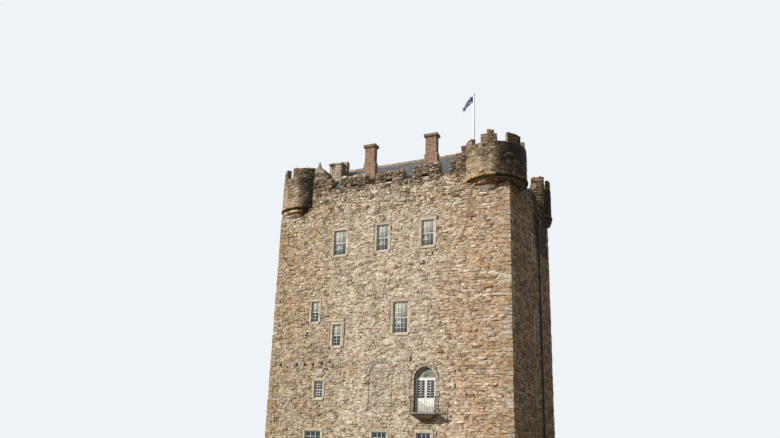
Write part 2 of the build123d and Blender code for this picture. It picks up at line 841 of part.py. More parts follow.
# Stone chimney and its coping
stone_chimney_plan = Plane(origin=(stone_chimney_centre_x, stone_chimney_centre_y, wall_head))
stone_chimney_height = stone_chimney_top - stone_coping_height
with BuildPart() as stone_chimney:
    with BuildSketch(stone_chimney_plan):
        Rectangle(stone_chimney_width, stone_chimney_depth)
    extrude(amount=stone_chimney_height)
stone_chimney.part.label = "stone_chimney"
export_step(stone_chimney.part, "parts/stone_chimney.step")

with BuildPart() as stone_chimney_coping:
    with BuildSketch(stone_chimney_plan.offset(stone_chimney_height)):
        Rectangle(
            stone_chimney_width + 2 * stone_coping_lip, stone_chimney_depth + 2 * stone_coping_lip
        )
    extrude(amount=stone_coping_height)
stone_chimney_coping.part.label = "stone_chimney_coping"
export_step(stone_chimney_coping.part, "parts/stone_chimney_coping.step")

# Brick chimneys and their copings
with BuildPart() as brick_stacks:
    for left, right, top in brick_chimneys:
        chimney_plan = Plane(origin=((left + right) / 2, brick_chimney_centre_y, wall_head))
        with BuildSketch(chimney_plan):
            Rectangle(right - left, brick_chimney_depth)
        extrude(amount=top - brick_coping_height)
        with BuildSketch(chimney_plan):
            Rectangle(right - left + 2 * brick_chimney_ledge, brick_chimney_depth)
        extrude(amount=brick_chimney_ledge_height)
brick_stacks.part.label = "brick_chimneys"
export_step(brick_stacks.part, "parts/brick_chimneys.step")

with BuildPart() as brick_copings:
    for left, right, top in brick_chimneys:
        with BuildSketch(Plane(origin=((left + right) / 2, brick_chimney_centre_y, wall_head + top))):
            Rectangle(
                right - left + 2 * brick_coping_lip, brick_chimney_depth + 2 * brick_coping_lip
            )
        extrude(amount=-brick_coping_height)
brick_copings.part.label = "brick_chimney_copings"
export_step(brick_copings.part, "parts/brick_chimney_copings.step")

# Flagpole with its ball
flag_turret = turrets["front_right"]
flagpole_inset = flag_turret["wall"] + flagpole_clearance + flagpole_radius
flagpole_offset = flag_turret["radius"] - flagpole_inset
flagpole_x = flag_turret["x"] + flagpole_offset * cos(radians(flagpole_bearing))
flagpole_y = flag_turret["y"] + flagpole_offset * sin(radians(flagpole_bearing))
flagpole_foot = wall_head + flag_turret["floor"]
flagpole_top = flagpole_foot + flagpole_height
with BuildPart() as flagpole:
    with BuildSketch(Plane(origin=(flagpole_x, flagpole_y, flagpole_foot))):
        Circle(flagpole_radius)
    with BuildSketch(Plane(origin=(flagpole_x, flagpole_y, flagpole_top))):
        Circle(flagpole_tip_radius)
    loft()
    with Locations((flagpole_x, flagpole_y, flagpole_top)):
        Sphere(flagpole_ball_radius)
flagpole.part.label = "flagpole"
export_step(flagpole.part, "parts/flagpole.step")

# Furled flag, hanging from the top of the pole
flag_direction = (cos(radians(flag_heading)), sin(radians(flag_heading)), 0)
flag_across = (sin(radians(flag_heading)), -cos(radians(flag_heading)), 0)
flag_top = -flagpole_ball_radius
flagpole_taper = (flagpole_radius - flagpole_tip_radius) / flagpole_height
flag_start = flagpole_tip_radius + flagpole_taper * (flag_hoist - flag_top) + flag_gap
flag_origin = (flagpole_x, flagpole_y, flagpole_top)
flag_plane = Plane(origin=flag_origin, x_dir=flag_direction, z_dir=flag_across)
with BuildPart() as flag:
    with BuildSketch(flag_plane):
        Polygon(
            (flag_start, flag_top),
            (flag_reach, flag_top - flag_fall),
            (flag_reach - flag_tip, flag_top - flag_fall - flag_tip / 2),
            (flag_start, flag_top - flag_hoist),
            align=None,
        )
    extrude(amount=flag_thickness / 2, both=True)
flag.part.label = "flag"
export_step(flag.part, "parts/flag.step")

# Rainwater pipe with its hopper and the holderbats that pin it to the right wall
downpipe_x = half_width + downpipe_clearance + downpipe_radius
downpipe_y = half_depth - downpipe_inset
downpipe_head = wall_head - hopper_drop - hopper_height
with BuildPart() as downpipe:
    with BuildSketch(Plane(origin=(downpipe_x, downpipe_y, downpipe_foot))):
        Circle(downpipe_radius)
    extrude(amount=downpipe_head - downpipe_foot)
    with BuildSketch(Plane(origin=(downpipe_x, downpipe_y, downpipe_head))):
        Circle(downpipe_radius)
    with BuildSketch(Plane(origin=(downpipe_x, downpipe_y, downpipe_head + hopper_height))):
        with Locations((hopper_width / 2 - downpipe_clearance - downpipe_radius, 0)):
            Rectangle(hopper_width, hopper_width)
    loft()
    with BuildSketch(right_face):
        for step in range(int((downpipe_head - downpipe_foot) / holderbat_spacing)):
            with Locations((downpipe_y, downpipe_foot + holderbat_spacing * (step + 0.5))):
                Rectangle(2 * downpipe_radius, holderbat_height)
    extrude(amount=downpipe_clearance + downpipe_radius)
downpipe.part.label = "downpipe"
export_step(downpipe.part, "parts/downpipe.step")
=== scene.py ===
import bpy
import json
import numpy as np
from math import acos, atan2, cos, degrees, pi, radians, sin, sqrt
from mathutils import Matrix, Vector
from random import Random


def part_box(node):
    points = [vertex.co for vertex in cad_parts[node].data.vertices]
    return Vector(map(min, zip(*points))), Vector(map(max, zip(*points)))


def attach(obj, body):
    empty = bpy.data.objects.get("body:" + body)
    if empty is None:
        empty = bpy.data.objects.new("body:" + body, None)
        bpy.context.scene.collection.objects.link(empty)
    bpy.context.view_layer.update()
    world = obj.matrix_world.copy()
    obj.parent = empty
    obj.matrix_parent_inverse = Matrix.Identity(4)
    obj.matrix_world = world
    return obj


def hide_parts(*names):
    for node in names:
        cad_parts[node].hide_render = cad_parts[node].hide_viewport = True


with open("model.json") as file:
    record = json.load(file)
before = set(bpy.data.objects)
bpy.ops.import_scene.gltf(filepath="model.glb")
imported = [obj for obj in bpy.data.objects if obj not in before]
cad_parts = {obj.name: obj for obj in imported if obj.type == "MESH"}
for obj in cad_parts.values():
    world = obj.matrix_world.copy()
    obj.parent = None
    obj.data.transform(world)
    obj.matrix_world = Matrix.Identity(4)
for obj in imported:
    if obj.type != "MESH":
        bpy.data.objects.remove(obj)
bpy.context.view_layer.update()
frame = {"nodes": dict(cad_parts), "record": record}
record = frame["record"]
print("frame loaded")

keep = {
    "halfWidth": 9.4,
    "halfDepth": 6.1,
    "wallHead": 20.2,
    "parapetDepth": 0.6,
    "frontCrenel": 21.2,
    "sideCrenel": 20.75,
    "frontSplit": 9.6,
}


# Camera, sun and world

cameraSettings = {
    "place": (21.123, -50.519, 1.600),
    "yaw": 25.092,
    "pitch": 16.081,
    "roll": 1.778,
    "lens": 31.87,
    "sensor": 36.0,
    "shiftY": 0.0397,
    "farEnd": 500,
}
lightSettings = {
    "sunStrength": 4.3,
    "sunColour": (1.0, 0.965, 0.90),
    "sunAngle": 0.8,
    "sunTurn": (62, 0, -46),
    "skyStrength": 0.31,
    "skyColour": (0.93, 0.95, 1.0),
    "backdrop": (0.86, 0.90, 0.94),
    "floorRadius": 260,
}


def setCamera(settings):
    yaw, pitch, roll = (radians(settings[key]) for key in ("yaw", "pitch", "roll"))
    ahead = Vector((-sin(yaw) * cos(pitch), cos(yaw) * cos(pitch), sin(pitch)))
    across = Vector((cos(yaw), sin(yaw), 0))
    above = across.cross(ahead)
    right = across * cos(roll) + above * sin(roll)
    up = above * cos(roll) - across * sin(roll)
    bpy.ops.object.camera_add(location=settings["place"])
    camera = bpy.context.object
    camera.name = "photoCamera"
    turn = Matrix((right, up, -ahead)).transposed().to_4x4()
    camera.matrix_world = Matrix.Translation(settings["place"]) @ turn
    camera.data.lens = settings["lens"]
    camera.data.sensor_width = settings["sensor"]
    camera.data.shift_y = settings["shiftY"]
    camera.data.clip_end = settings["farEnd"]
    bpy.context.scene.camera = camera


# Shader maths: a socket that adds its own nodes

class Wire:
    def __init__(self, tree, socket):
        self.tree = tree
        self.socket = socket

    def reckon(self, operation, *terms):
        node = self.tree.nodes.new("ShaderNodeMath")
        node.operation = operation
        for place, term in zip(node.inputs, terms):
            if isinstance(term, Wire):
                self.tree.links.new(term.socket, place)
            else:
                place.default_value = term
        return Wire(self.tree, node.outputs[0])

    def __add__(self, other):
        return self.reckon("ADD", self, other)

    def __sub__(self, other):
        return self.reckon("SUBTRACT", self, other)

    def __rsub__(self, other):
        return self.reckon("SUBTRACT", other, self)

    def __mul__(self, other):
        return self.reckon("MULTIPLY", self, other)

    def over(self, edge, width):
        softened = self.reckon("DIVIDE", self - edge, width)
        return softened.reckon("MINIMUM", softened.reckon("MAXIMUM", softened, 0.0), 1.0)


class Shader:
    def __init__(self, owner, output):
        owner.use_nodes = True
        self.tree = owner.node_tree
        self.tree.nodes.clear()
        self.output = self.tree.nodes.new(output)

    def node(self, kind, settings, sockets, result=0):
        node = self.tree.nodes.new(kind)
        for key, setting in settings.items():
            if key == "stops":
                ramp = node.color_ramp
                while len(ramp.elements) < len(setting):
                    ramp.elements.new(0.5)
                for element, (place, colour) in zip(ramp.elements, setting):
                    element.position = place
                    element.color = (*colour, 1)
            else:
                setattr(node, key, setting)
        for key, value in sockets.items():
            if isinstance(value, Wire):
                self.tree.links.new(value.socket, node.inputs[key])
            else:
                node.inputs[key].default_value = value
        return Wire(self.tree, node.outputs[result])

    def rays(self):
        names = ("Is Camera Ray", "Is Glossy Ray", "Is Transmission Ray")
        return [self.node("ShaderNodeLightPath", {}, {}, name) for name in names]

    def show(self, wire):
        self.tree.links.new(wire.socket, self.output.inputs[0])


class Finish(Shader):
    def __init__(self, name):
        self.material = bpy.data.materials.new(name)
        super().__init__(self.material, "ShaderNodeOutputMaterial")

    def place(self, scale=(1, 1, 1)):
        where = self.node("ShaderNodeTexCoord", {}, {}, "Object")
        return self.node("ShaderNodeMapping", {}, {"Vector": where, "Scale": scale})

    def axis(self, number, vector=None):
        vector = vector or self.place()
        return self.node("ShaderNodeSeparateXYZ", {}, {"Vector": vector}, number)

    def stoneTint(self):
        return self.node("ShaderNodeAttribute", {"attribute_name": "stoneTint"}, {}, "Color")

    def noise(self, scale, detail, rough, stretch=(1, 1, 1)):
        where = self.place(stretch)
        sockets = {"Vector": where, "Scale": scale, "Detail": detail, "Roughness": rough}
        return self.node("ShaderNodeTexNoise", {}, sockets)

    def ramp(self, factor, *stops):
        return self.node("ShaderNodeValToRGB", {"stops": stops}, {"Fac": factor})

    def blend(self, how, factor, first, second):
        first, second = (c if isinstance(c, Wire) else (*c, 1) for c in (first, second))
        settings = {"data_type": "RGBA", "blend_type": how}
        return self.node("ShaderNodeMix", settings, {0: factor, 6: first, 7: second}, 2)

    def tone(self, colour, factor, *stops):
        return self.blend("MULTIPLY", 1.0, colour, self.ramp(factor, *stops))

    def bump(self, height, distance):
        sockets = {"Height": height, "Distance": distance, "Strength": 1.0}
        return self.node("ShaderNodeBump", {}, sockets)

    def shade(self, colour, rough, relief=None, shine=0.25, **more):
        sockets = {"Base Color": colour, "Roughness": rough, "Specular IOR Level": shine, **more}
        if relief:
            sockets["Normal"] = self.bump(*relief)
        self.show(self.node("ShaderNodeBsdfPrincipled", {}, sockets))
        return self.material


def makeStone(name, bumpDepth, stain):
    finish = Finish(name)
    tint = finish.stoneTint()
    greys = [(place, (level,) * 3) for place, level in ((0.28, 0.62), (0.5, 1.0), (0.74, 1.26))]
    colour = finish.tone(tint, finish.noise(2.2, 6, 0.62), *greys)
    grain = finish.noise(9, 6, 0.72, (0.75, 0.75, 1.35))
    fine = ((0.34, (0.62, 0.53, 0.44)), (0.5, (1.04, 1.05, 1.06)), (0.70, (1.22, 1.27, 1.33)))
    colour = finish.tone(colour, grain, *fine)
    rust = finish.noise(0.9, 5, 0.7, (1, 1, 1.8)).over(0.56, 0.16) * stain
    colour = finish.blend("MIX", rust, colour, (0.42, 0.235, 0.095))
    weather = finish.noise(0.33, 6, 0.6, (1, 1, 0.45)).over(0.50, 0.35)
    colour = finish.blend("MULTIPLY", weather * 0.45, colour, (0.60, 0.57, 0.53))
    lumps = finish.noise(3.4, 5, 0.62, (1, 1, 1.7))
    grit = finish.noise(5.0, 3, 0.6, (0.6, 0.6, 1.6))
    coarse = ((0.38, (0.76, 0.68, 0.60)), (0.5, (1.03, 1.05, 1.06)), (0.62, (1.18, 1.23, 1.28)))
    colour = finish.tone(colour, grit, *coarse)
    relief = lumps * 0.62 + grain * 0.38
    # painted shade: the hollows of the bump relief are darkened towards orange brown
    reliefHollowShade = lumps.over(0.43, -0.07)
    colour = finish.blend("MULTIPLY", reliefHollowShade * 0.9, colour, (0.48, 0.32, 0.19))
    # darker horizontal beds towards the right, for the bed joints with painted shade in them; streaks below the
    # parapet
    level, across = finish.axis(2), finish.axis(0)
    beds = finish.noise(3.6, 4, 0.62, (0.4, 0.4, 2.2)).over(0.53, 0.05) * across.over(2.8, 2.6)
    colour = finish.blend("MULTIPLY", beds * 0.7, colour, (0.78, 0.63, 0.50))
    streak = finish.noise(1.7, 5, 0.65, (1, 1, 0.14)).over(0.48, 0.14) * level.over(17.4, 3.2)
    colour = finish.blend("MULTIPLY", streak * 0.65, colour, (0.50, 0.45, 0.38))
    return finish.shade(colour, grain * 0.1 + 0.86, (relief, bumpDepth))


def makeCore(name, joint, *stones):
    finish = Finish(name)
    sockets = {"Vector": finish.place((2.1, 2.1, 4.4)), "Scale": 1.0, "Randomness": 0.8}
    cells = finish.node("ShaderNodeTexVoronoi", {"feature": "F1"}, sockets, "Color")
    pick = finish.node("ShaderNodeSeparateColor", {}, {"Color": cells}, 0)
    edge = finish.node("ShaderNodeTexVoronoi", {"feature": "DISTANCE_TO_EDGE"}, sockets, "Distance")
    colour = finish.ramp(pick, *stones)
    grain = finish.noise(9, 6, 0.65)
    face = edge.over(0.03, 0.09)
    colour = finish.blend("MIX", face, joint, colour)
    colour = finish.tone(colour, grain, (0.25, (0.6, 0.57, 0.52)), (0.75, (1.2, 1.17, 1.12)))
    return finish.shade(colour, grain * 0.08 + 0.9, (face * 0.7 + grain * 0.4, 0.04), 0.2)


def makeDressed(name, light, dark, grime):
    finish = Finish(name)
    broad = finish.noise(1.1, 6, 0.6)
    colour = finish.ramp(broad, (0.3, dark), (0.7, light))
    grain = finish.noise(22, 5, 0.7)
    colour = finish.tone(colour, grain, (0.3, (0.7, 0.68, 0.64)), (0.7, (1.12, 1.1, 1.08)))
    dirt = finish.noise(0.8, 6, 0.7, (1, 1, 0.5)).over(0.5, 0.2)
    colour = finish.blend("MIX", dirt * 0.5, colour, grime)
    return finish.shade(colour, grain * 0.12 + 0.82, (broad * 0.4 + grain * 0.6, 0.012))


def makeTinted(name, grainScale, rough, bumpDepth):
    finish = Finish(name)
    tint = finish.stoneTint()
    grain = finish.noise(grainScale, 5, 0.65)
    colour = finish.tone(tint, grain, (0.28, (0.66, 0.65, 0.64)), (0.55, (1, 1, 1)), (0.8, (1.2, 1.2, 1.2)))
    soot = finish.noise(0.7, 5, 0.6).over(0.5, 0.25)
    colour = finish.blend("MULTIPLY", soot * 0.4, colour, (0.62, 0.60, 0.58))
    return finish.shade(colour, grain * 0.12 + rough, (grain, bumpDepth), 0.3)


def makePaint(name, colour, chipped, rough, chips=0.64):
    finish = Finish(name)
    fine = finish.noise(30, 5, 0.6)
    broad = finish.noise(3.0, 5, 0.6)
    body = finish.tone(colour, broad, (0.3, (0.84, 0.83, 0.80)), (0.7, (1.04, 1.04, 1.03)))
    body = finish.blend("MIX", fine.over(chips, 0.05), body, chipped)
    return finish.shade(body, broad * 0.15 + rough, (fine, 0.002), 0.4)


def makeWood(name, light, dark, along, rough):
    finish = Finish(name)
    rings = finish.noise(5.0, 6, 0.6, along)
    boards = finish.noise(1.4, 2, 0.5)
    colour = finish.ramp(rings, (0.3, dark), (0.55, light), (0.8, tuple(c * 0.75 for c in light)))
    colour = finish.tone(colour, boards, (0.35, (0.75, 0.74, 0.72)), (0.65, (1.1, 1.1, 1.1)))
    return finish.shade(colour, rings * 0.15 + rough, (rings, 0.004), 0.5)


def makeGlass(name, colour, alpha):
    finish = Finish(name)
    wobble = finish.noise(2.4, 2, 0.5)
    film = finish.noise(9, 4, 0.6).over(0.55, 0.3)
    body = finish.blend("MIX", film * 0.25, colour, (0.30, 0.31, 0.30))
    return finish.shade(body, film * 0.1 + 0.04, (wobble, 0.006), 0.8, Alpha=alpha)


def makeFlag(name):
    finish = Finish(name)
    cloth = finish.node("ShaderNodeUVMap", {"uv_map": "cloth"}, {}, "UV")
    across, down = finish.axis(0, cloth), finish.axis(1, cloth)
    one, other = across - down, across + down - 1.0
    first, second = one.reckon("ABSOLUTE", one), other.reckon("ABSOLUTE", other)
    white = 1.0 - first.reckon("MINIMUM", first, second).over(0.10, 0.02)
    settings = {"bands_direction": "DIAGONAL"}
    weave = finish.node("ShaderNodeTexWave", settings, {"Vector": cloth, "Scale": 160.0}, 1)
    colour = finish.blend("MIX", white, (0.028, 0.085, 0.30), (0.80, 0.81, 0.83))
    threads = finish.ramp(weave, (0.2, (0.75, 0.75, 0.78)), (0.8, (1.05, 1.05, 1.05)))
    colour = finish.blend("MULTIPLY", 0.35, colour, threads)
    return finish.shade(colour, weave * 0.1 + 0.78, (weave, 0.0006), 0.5)


coreStones = [
    (0.0, (0.32, 0.235, 0.14)), (0.35, (0.43, 0.33, 0.21)),
    (0.7, (0.36, 0.28, 0.19)), (1.0, (0.27, 0.20, 0.13)),
]
finishes = {
    "rubble": makeStone("rubbleFaces", 0.12, 0.16),
    "weathered": makeStone("weatheredFaces", 0.11, 0.14),
    "core": makeCore("rubbleCore", (0.22, 0.16, 0.10), *coreStones),
    "dressed": makeDressed("dressedStone", (0.52, 0.43, 0.31), (0.36, 0.28, 0.19), (0.20, 0.17, 0.13)),
    "capStone": makeDressed("capStone", (0.42, 0.375, 0.29), (0.28, 0.24, 0.175), (0.12, 0.10, 0.07)),
    # a dark olive stone for the balcony bracket, darker than the wall
    "mossy": makeDressed("mossyStone", (0.21, 0.155, 0.065), (0.10, 0.078, 0.032), (0.05, 0.042, 0.022)),
    # painted shade: a dark stone for the shaded underside of the balcony slab
    "slab": makeDressed("slabStone", (0.30, 0.27, 0.23), (0.16, 0.14, 0.12), (0.07, 0.06, 0.05)),
    "floorStone": makeDressed("floorFlags", (0.42, 0.38, 0.31), (0.28, 0.25, 0.21), (0.15, 0.13, 0.11)),
    "floorTimber": makeWood("floorBoards", (0.36, 0.24, 0.14), (0.17, 0.105, 0.06), (1, 9, 9), 0.55),
    "slate": makeTinted("slateTiles", 12, 0.42, 0.006),
    "slateBed": makeDressed("slateBed", (0.13, 0.14, 0.15), (0.08, 0.085, 0.095), (0.05, 0.05, 0.05)),
    "brick": makeTinted("brickFaces", 26, 0.8, 0.006),
    "brickJoint": makeDressed("brickJoint", (0.42, 0.33, 0.25), (0.30, 0.22, 0.16), (0.16, 0.12, 0.09)),
    "white": makePaint("whitePaint", (0.82, 0.81, 0.76), (0.42, 0.38, 0.31), 0.38),
    # painted reflection: pale opaque panes for the sky seen in the glass
    "obscured": makeTinted("obscuredGlass", 3, 0.6, 0.001),
    "margin": makeTinted("marginStone", 4, 0.85, 0.006),
    # dark panes: painted shade for the dim rooms behind the glass
    "dimPane": makeTinted("dimPanes", 5, 0.3, 0.002),
    "glass": makeGlass("windowPanes", (0.035, 0.055, 0.085), 0.55),
    "oak": makeWood("oakBoards", (0.24, 0.15, 0.085), (0.10, 0.06, 0.035), (9, 9, 1), 0.6),
    "iron": makePaint("ironPaint", (0.022, 0.020, 0.019), (0.09, 0.045, 0.02), 0.45, 0.68),
    "pole": makePaint("polePaint", (0.93, 0.93, 0.92), (0.50, 0.49, 0.46), 0.32, 0.7),
    "cloth": makeFlag("flagCloth"),
}
print("materials made")


# Piece helpers

def mode(name):
    bpy.ops.object.mode_set(mode=name)


def pickAll(action):
    bpy.ops.mesh.select_all(action=action)


def selectOnly(*pieces):
    bpy.ops.object.select_all(action="DESELECT")
    for piece in pieces:
        piece.select_set(True)
    bpy.context.view_layer.objects.active = pieces[0]


def smooth(piece, angle):
    selectOnly(piece)
    bpy.ops.object.shade_smooth_by_angle(angle=radians(angle))


def addPiece(piece, finish, slot, *replaced):
    piece.data.materials.clear()
    piece.data.materials.append(finishes[finish])
    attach(piece, "root")
    if replaced:
        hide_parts(*replaced)


def applyModifier(piece, kind, **settings):
    bpy.ops.object.modifier_add(type=kind)
    for key, value in settings.items():
        setattr(piece.modifiers[-1], key, value)
    bpy.ops.object.modifier_apply(modifier=piece.modifiers[-1].name)


def startPiece(make, name="block", **settings):
    make(**settings)
    piece = bpy.context.object
    piece.name = name
    bpy.ops.object.transform_apply(location=True)
    return piece


# Shapes that are stamped: unit stones, corbel rolls and slates

def unitCube():
    return startPiece(bpy.ops.mesh.primitive_cube_add, size=1, location=(0, 0, 0.5))


def bevelUpright(block, offset, chosen):
    mode("EDIT")
    pickAll("DESELECT")
    bpy.ops.mesh.select_mode(type="EDGE")
    mode("OBJECT")
    corners = block.data.vertices
    ends = [(edge, *(corners[i].co for i in edge.vertices)) for edge in block.data.edges]
    upright = [(edge, first) for edge, first, last in ends if abs(first.z - last.z) > 0.5]
    for number, (edge, end) in enumerate(upright):
        edge.select = chosen(number, end)
    mode("EDIT")
    bpy.ops.mesh.bevel(offset=offset, segments=1)
    mode("OBJECT")


def takeShape(block):
    applyModifier(block, "TRIANGULATE")
    mesh = block.data
    points = np.array([v.co for v in mesh.vertices], float)
    triangles = np.array([list(p.vertices) for p in mesh.polygons], int)
    bpy.data.objects.remove(block)
    bpy.data.meshes.remove(mesh)
    return points, triangles


def modelBlock(corner, inset, rise, wobble, seed):
    block = unitCube()
    if corner:
        pair = (seed % 4, (seed + 1 + seed % 2) % 4)
        bevelUpright(block, corner, lambda number, end: number in pair)
    mode("EDIT")
    bpy.ops.mesh.select_mode(type="FACE")
    mode("OBJECT")
    for polygon in block.data.polygons:
        polygon.select = polygon.normal.z > 0.9
    mode("EDIT")
    bpy.ops.mesh.inset(thickness=inset, depth=0)
    mode("OBJECT")
    limit = 0.5 - inset * 0.6
    for vertex in block.data.vertices:
        if vertex.co.z > 0.9 and max(abs(vertex.co.x), abs(vertex.co.y)) > limit:
            vertex.co.z = 1 - rise
    if wobble:
        mode("EDIT")
        pickAll("SELECT")
        bpy.ops.transform.vertex_random(offset=wobble, seed=seed)
        mode("OBJECT")
    return takeShape(block)


def modelRoll():
    grid = {"x_subdivisions": 3, "y_subdivisions": 10, "size": 1, "location": (0, 0, 1)}
    block = startPiece(bpy.ops.mesh.primitive_grid_add, **grid)
    mode("EDIT")
    pickAll("SELECT")
    bpy.ops.mesh.extrude_region_move(TRANSFORM_OT_translate={"value": (0, 0, -1)})
    pickAll("SELECT")
    bpy.ops.mesh.normals_make_consistent(inside=False)
    mode("OBJECT")
    return takeShape(block)


def modelSlate(tail=0.35, chamfer=0.10):
    block = unitCube()
    for vertex in block.data.vertices:
        if vertex.co.z > 0.9 and vertex.co.y > 0:
            vertex.co.z = tail
    bevelUpright(block, chamfer, lambda number, end: end.y < 0)
    return takeShape(block)


rubbleShapes = [
    modelBlock(0.20 + 0.04 * (i % 3), 0.12 + 0.03 * (i % 2), 0.5, 0.04, 11 + i) for i in range(8)
]
dressedShapes = [modelBlock(0, 0.05, 0.22, 0.006, 31 + i) for i in range(3)]
sharpShapes = [modelBlock(0, 0.03, 0.2, 0, 1)]
rollShapes = [modelRoll()]


# Faces: u along, v up and w out, to a place in the frame

sides = {
    "front": ((1, 0, 0), (0, -1, 0)),
    "right": ((0, 1, 0), (1, 0, 0)),
    "back": ((-1, 0, 0), (0, 1, 0)),
    "left": ((0, -1, 0), (-1, 0, 0)),
}
reachOf = {side: keep["halfWidth" if side in ("front", "back") else "halfDepth"] for side in sides}
distanceOf = {side: keep["halfDepth" if side in ("front", "back") else "halfWidth"] for side in sides}


def flatFace(origin, along, out):
    origin, along, out = (np.array(v, float) for v in (origin, along, out))
    up = np.cross(out, along)
    return lambda u, v, w: origin + u[..., None] * along + v[..., None] * up + w[..., None] * out


def sideFace(side, *origin):
    return flatFace(origin, *sides[side])


def topFace(*origin):
    return flatFace(origin, (1, 0, 0), (0, 0, 1))


def onRing(centre, reach, angle, height):
    return np.stack([centre[0] + reach * np.cos(angle), centre[1] + reach * np.sin(angle), height], -1)


def drumFace(centre, radius, turn=1):
    # turn is -1 for the inside of a drum
    return lambda u, v, w: onRing(centre, radius + turn * w, turn * u / radius, v)


def ringTop(centre, radius, level):
    # flat stones on a round wall: u along the arc, v inwards from its outer edge
    return lambda u, v, w: onRing(centre, radius - v, u / radius, level + w)


def archFace(face, arch, more=0.0, lift=0.0):
    radius = arch["radius"] + more

    def place(u, v, w):
        angle = pi - u / radius
        across = arch["middle"] + (radius + v) * np.cos(angle)
        return face(across, arch["spring"] + lift + (radius + v) * np.sin(angle), w)
    return place


faces = {side: sideFace(side, *(distanceOf[side] * v for v in sides[side][1])) for side in sides}


# Stretches: parts of a line, of random or of even length

def stretches(rng, start, end, spread, least=0.0, slack=0.0):
    place = start
    while place < end - slack:
        step = min(rng.uniform(*spread), end - place)
        if end - place - step < least:
            step = end - place
        yield place, place + step
        place += step


def evenly(start, end, count):
    length = end - start
    return [(start + length * i / count, start + length * (i + 1) / count) for i in range(count)]


def nineSlice(t, half, edge):
    # the edge of a unit shape keeps its width while its middle stretches
    scale = np.minimum(edge, 3.2 * half)
    size = np.abs(t)
    outer = half - (0.5 - size) * scale
    inner = size / 0.25 * (half - 0.25 * scale)
    return np.sign(t) * np.where(size > 0.25, outer, inner)


def stamp(stones, shapes, face, rng, edge=0.25, gap=0.014, jitter=0.0, tilt=0.0, wave=0.0):
    # each stone: left, right, low, high, depth, bed, red, green, blue
    if not stones:
        return None
    table = np.array(stones, float)
    local = np.random.default_rng(rng.randrange(1 << 30))
    kinds = local.integers(0, len(shapes), len(table))
    made, start = [], 0
    for kind, (points, triangles) in enumerate(shapes):
        rows = table[kinds == kind]
        count = len(rows)
        if not count:
            continue
        left, right, low, high, depth, bed = (rows[:, i, None] for i in range(6))
        x, y, z = (points[None, :, i] for i in range(3))
        # a draw that isn't used, kept for the order of the draws after it
        local.choice([-1.0, 1.0], (count, 1))
        u = nineSlice(x, (right - left) / 2 - gap / 2, edge)
        v = nineSlice(y, (high - low) / 2 - gap / 2, edge)
        if jitter:
            corners = local.uniform(-jitter, jitter, (count, 2, 2, 2))
            a, b = np.clip(x + 0.5, 0, 1), np.clip(y + 0.5, 0, 1)
            shifts = []
            for axis in (0, 1):
                c = corners[:, axis, ..., None]
                near = c[:, 0, 0] * (1 - a) * (1 - b) + c[:, 1, 0] * a * (1 - b)
                shifts.append(near + c[:, 0, 1] * (1 - a) * b + c[:, 1, 1] * a * b)
            u, v = u + shifts[0], v + shifts[1]
        lean = local.uniform(-tilt, tilt, (count, 2, 1))
        w = -bed + z * (depth + bed) + np.clip(z, 0, 1) * (lean[:, 0] * x + lean[:, 1] * y)
        w = np.where(z < 0.3, -bed + 0 * w, w)
        u, v = u + (left + right) / 2, v + (low + high) / 2
        if wave:
            v = v + wave * (np.sin(u * 0.9 + v * 0.5) + 0.6 * np.sin(u * 2.3 - v * 1.1 + 1.7))
        index = triangles[None] + (start + np.arange(count)[:, None, None] * len(points))
        tints = np.repeat(rows[:, 6:9], len(points), 0)
        made.append((face(u, v, w).reshape(-1, 3), index.reshape(-1, 3), tints))
        start += count * len(points)
    return tuple(np.concatenate(kind) for kind in zip(*made))


def buildPiece(name, parts, finish, slot, *replaced, angle=None):
    parts = [part for part in parts if part is not None]
    offsets = np.cumsum([0] + [len(part[0]) for part in parts[:-1]])
    points = np.concatenate([part[0] for part in parts])
    triangles = np.concatenate([part[1] + offset for part, offset in zip(parts, offsets)])
    tints = np.concatenate([part[2] for part in parts])
    colours = np.concatenate([tints, np.ones((len(tints), 1))], 1)
    points[:, 2] = np.maximum(points[:, 2], 0.0)
    mesh = bpy.data.meshes.new(name)
    mesh.vertices.add(len(points))
    mesh.vertices.foreach_set("co", points.astype(np.float32).ravel())
    mesh.loops.add(triangles.size)
    mesh.loops.foreach_set("vertex_index", triangles.astype(np.int32).ravel())
    mesh.polygons.add(len(triangles))
    mesh.polygons.foreach_set("loop_start", np.arange(0, triangles.size, 3, dtype=np.int32))
    mesh.polygons.foreach_set("loop_total", np.full(len(triangles), 3, np.int32))
    mesh.update(calc_edges=True)
    mesh.validate()
    attribute = mesh.color_attributes.new("stoneTint", "FLOAT_COLOR", "POINT")
    attribute.data.foreach_set("color", colours.astype(np.float32).ravel())
    piece = bpy.data.objects.new(name, mesh)
    bpy.context.scene.collection.objects.link(piece)
    if angle is not None:
        smooth(piece, angle)
    addPiece(piece, finish, slot, *replaced)
    print("made", name, len(triangles), "triangles")


# Mortar: an uneven skin that washes over the joints

def lattice(seed, u, v, size):
    table = np.random.default_rng(seed).random((97, 89))
    x, y = u / size + 500.0, v / size + 500.0
    i, j = np.floor(x).astype(int), np.floor(y).astype(int)
    a, b = x - i, y - j
    a, b = a * a * (3 - 2 * a), b * b * (3 - 2 * b)
    low = table[i % 97, j % 89] * (1 - a) + table[(i + 1) % 97, j % 89] * a
    high = table[i % 97, (j + 1) % 89] * (1 - a) + table[(i + 1) % 97, (j + 1) % 89] * a
    return low * (1 - b) + high * b


def unevenness(seed, u, v, size, octaves, flat):
    weights = [0.6 ** k for k in range(octaves)]
    layers = [lattice(seed + k, u, v * flat, size / 2 ** k) * weight for k, weight in enumerate(weights)]
    return sum(layers) / sum(weights)


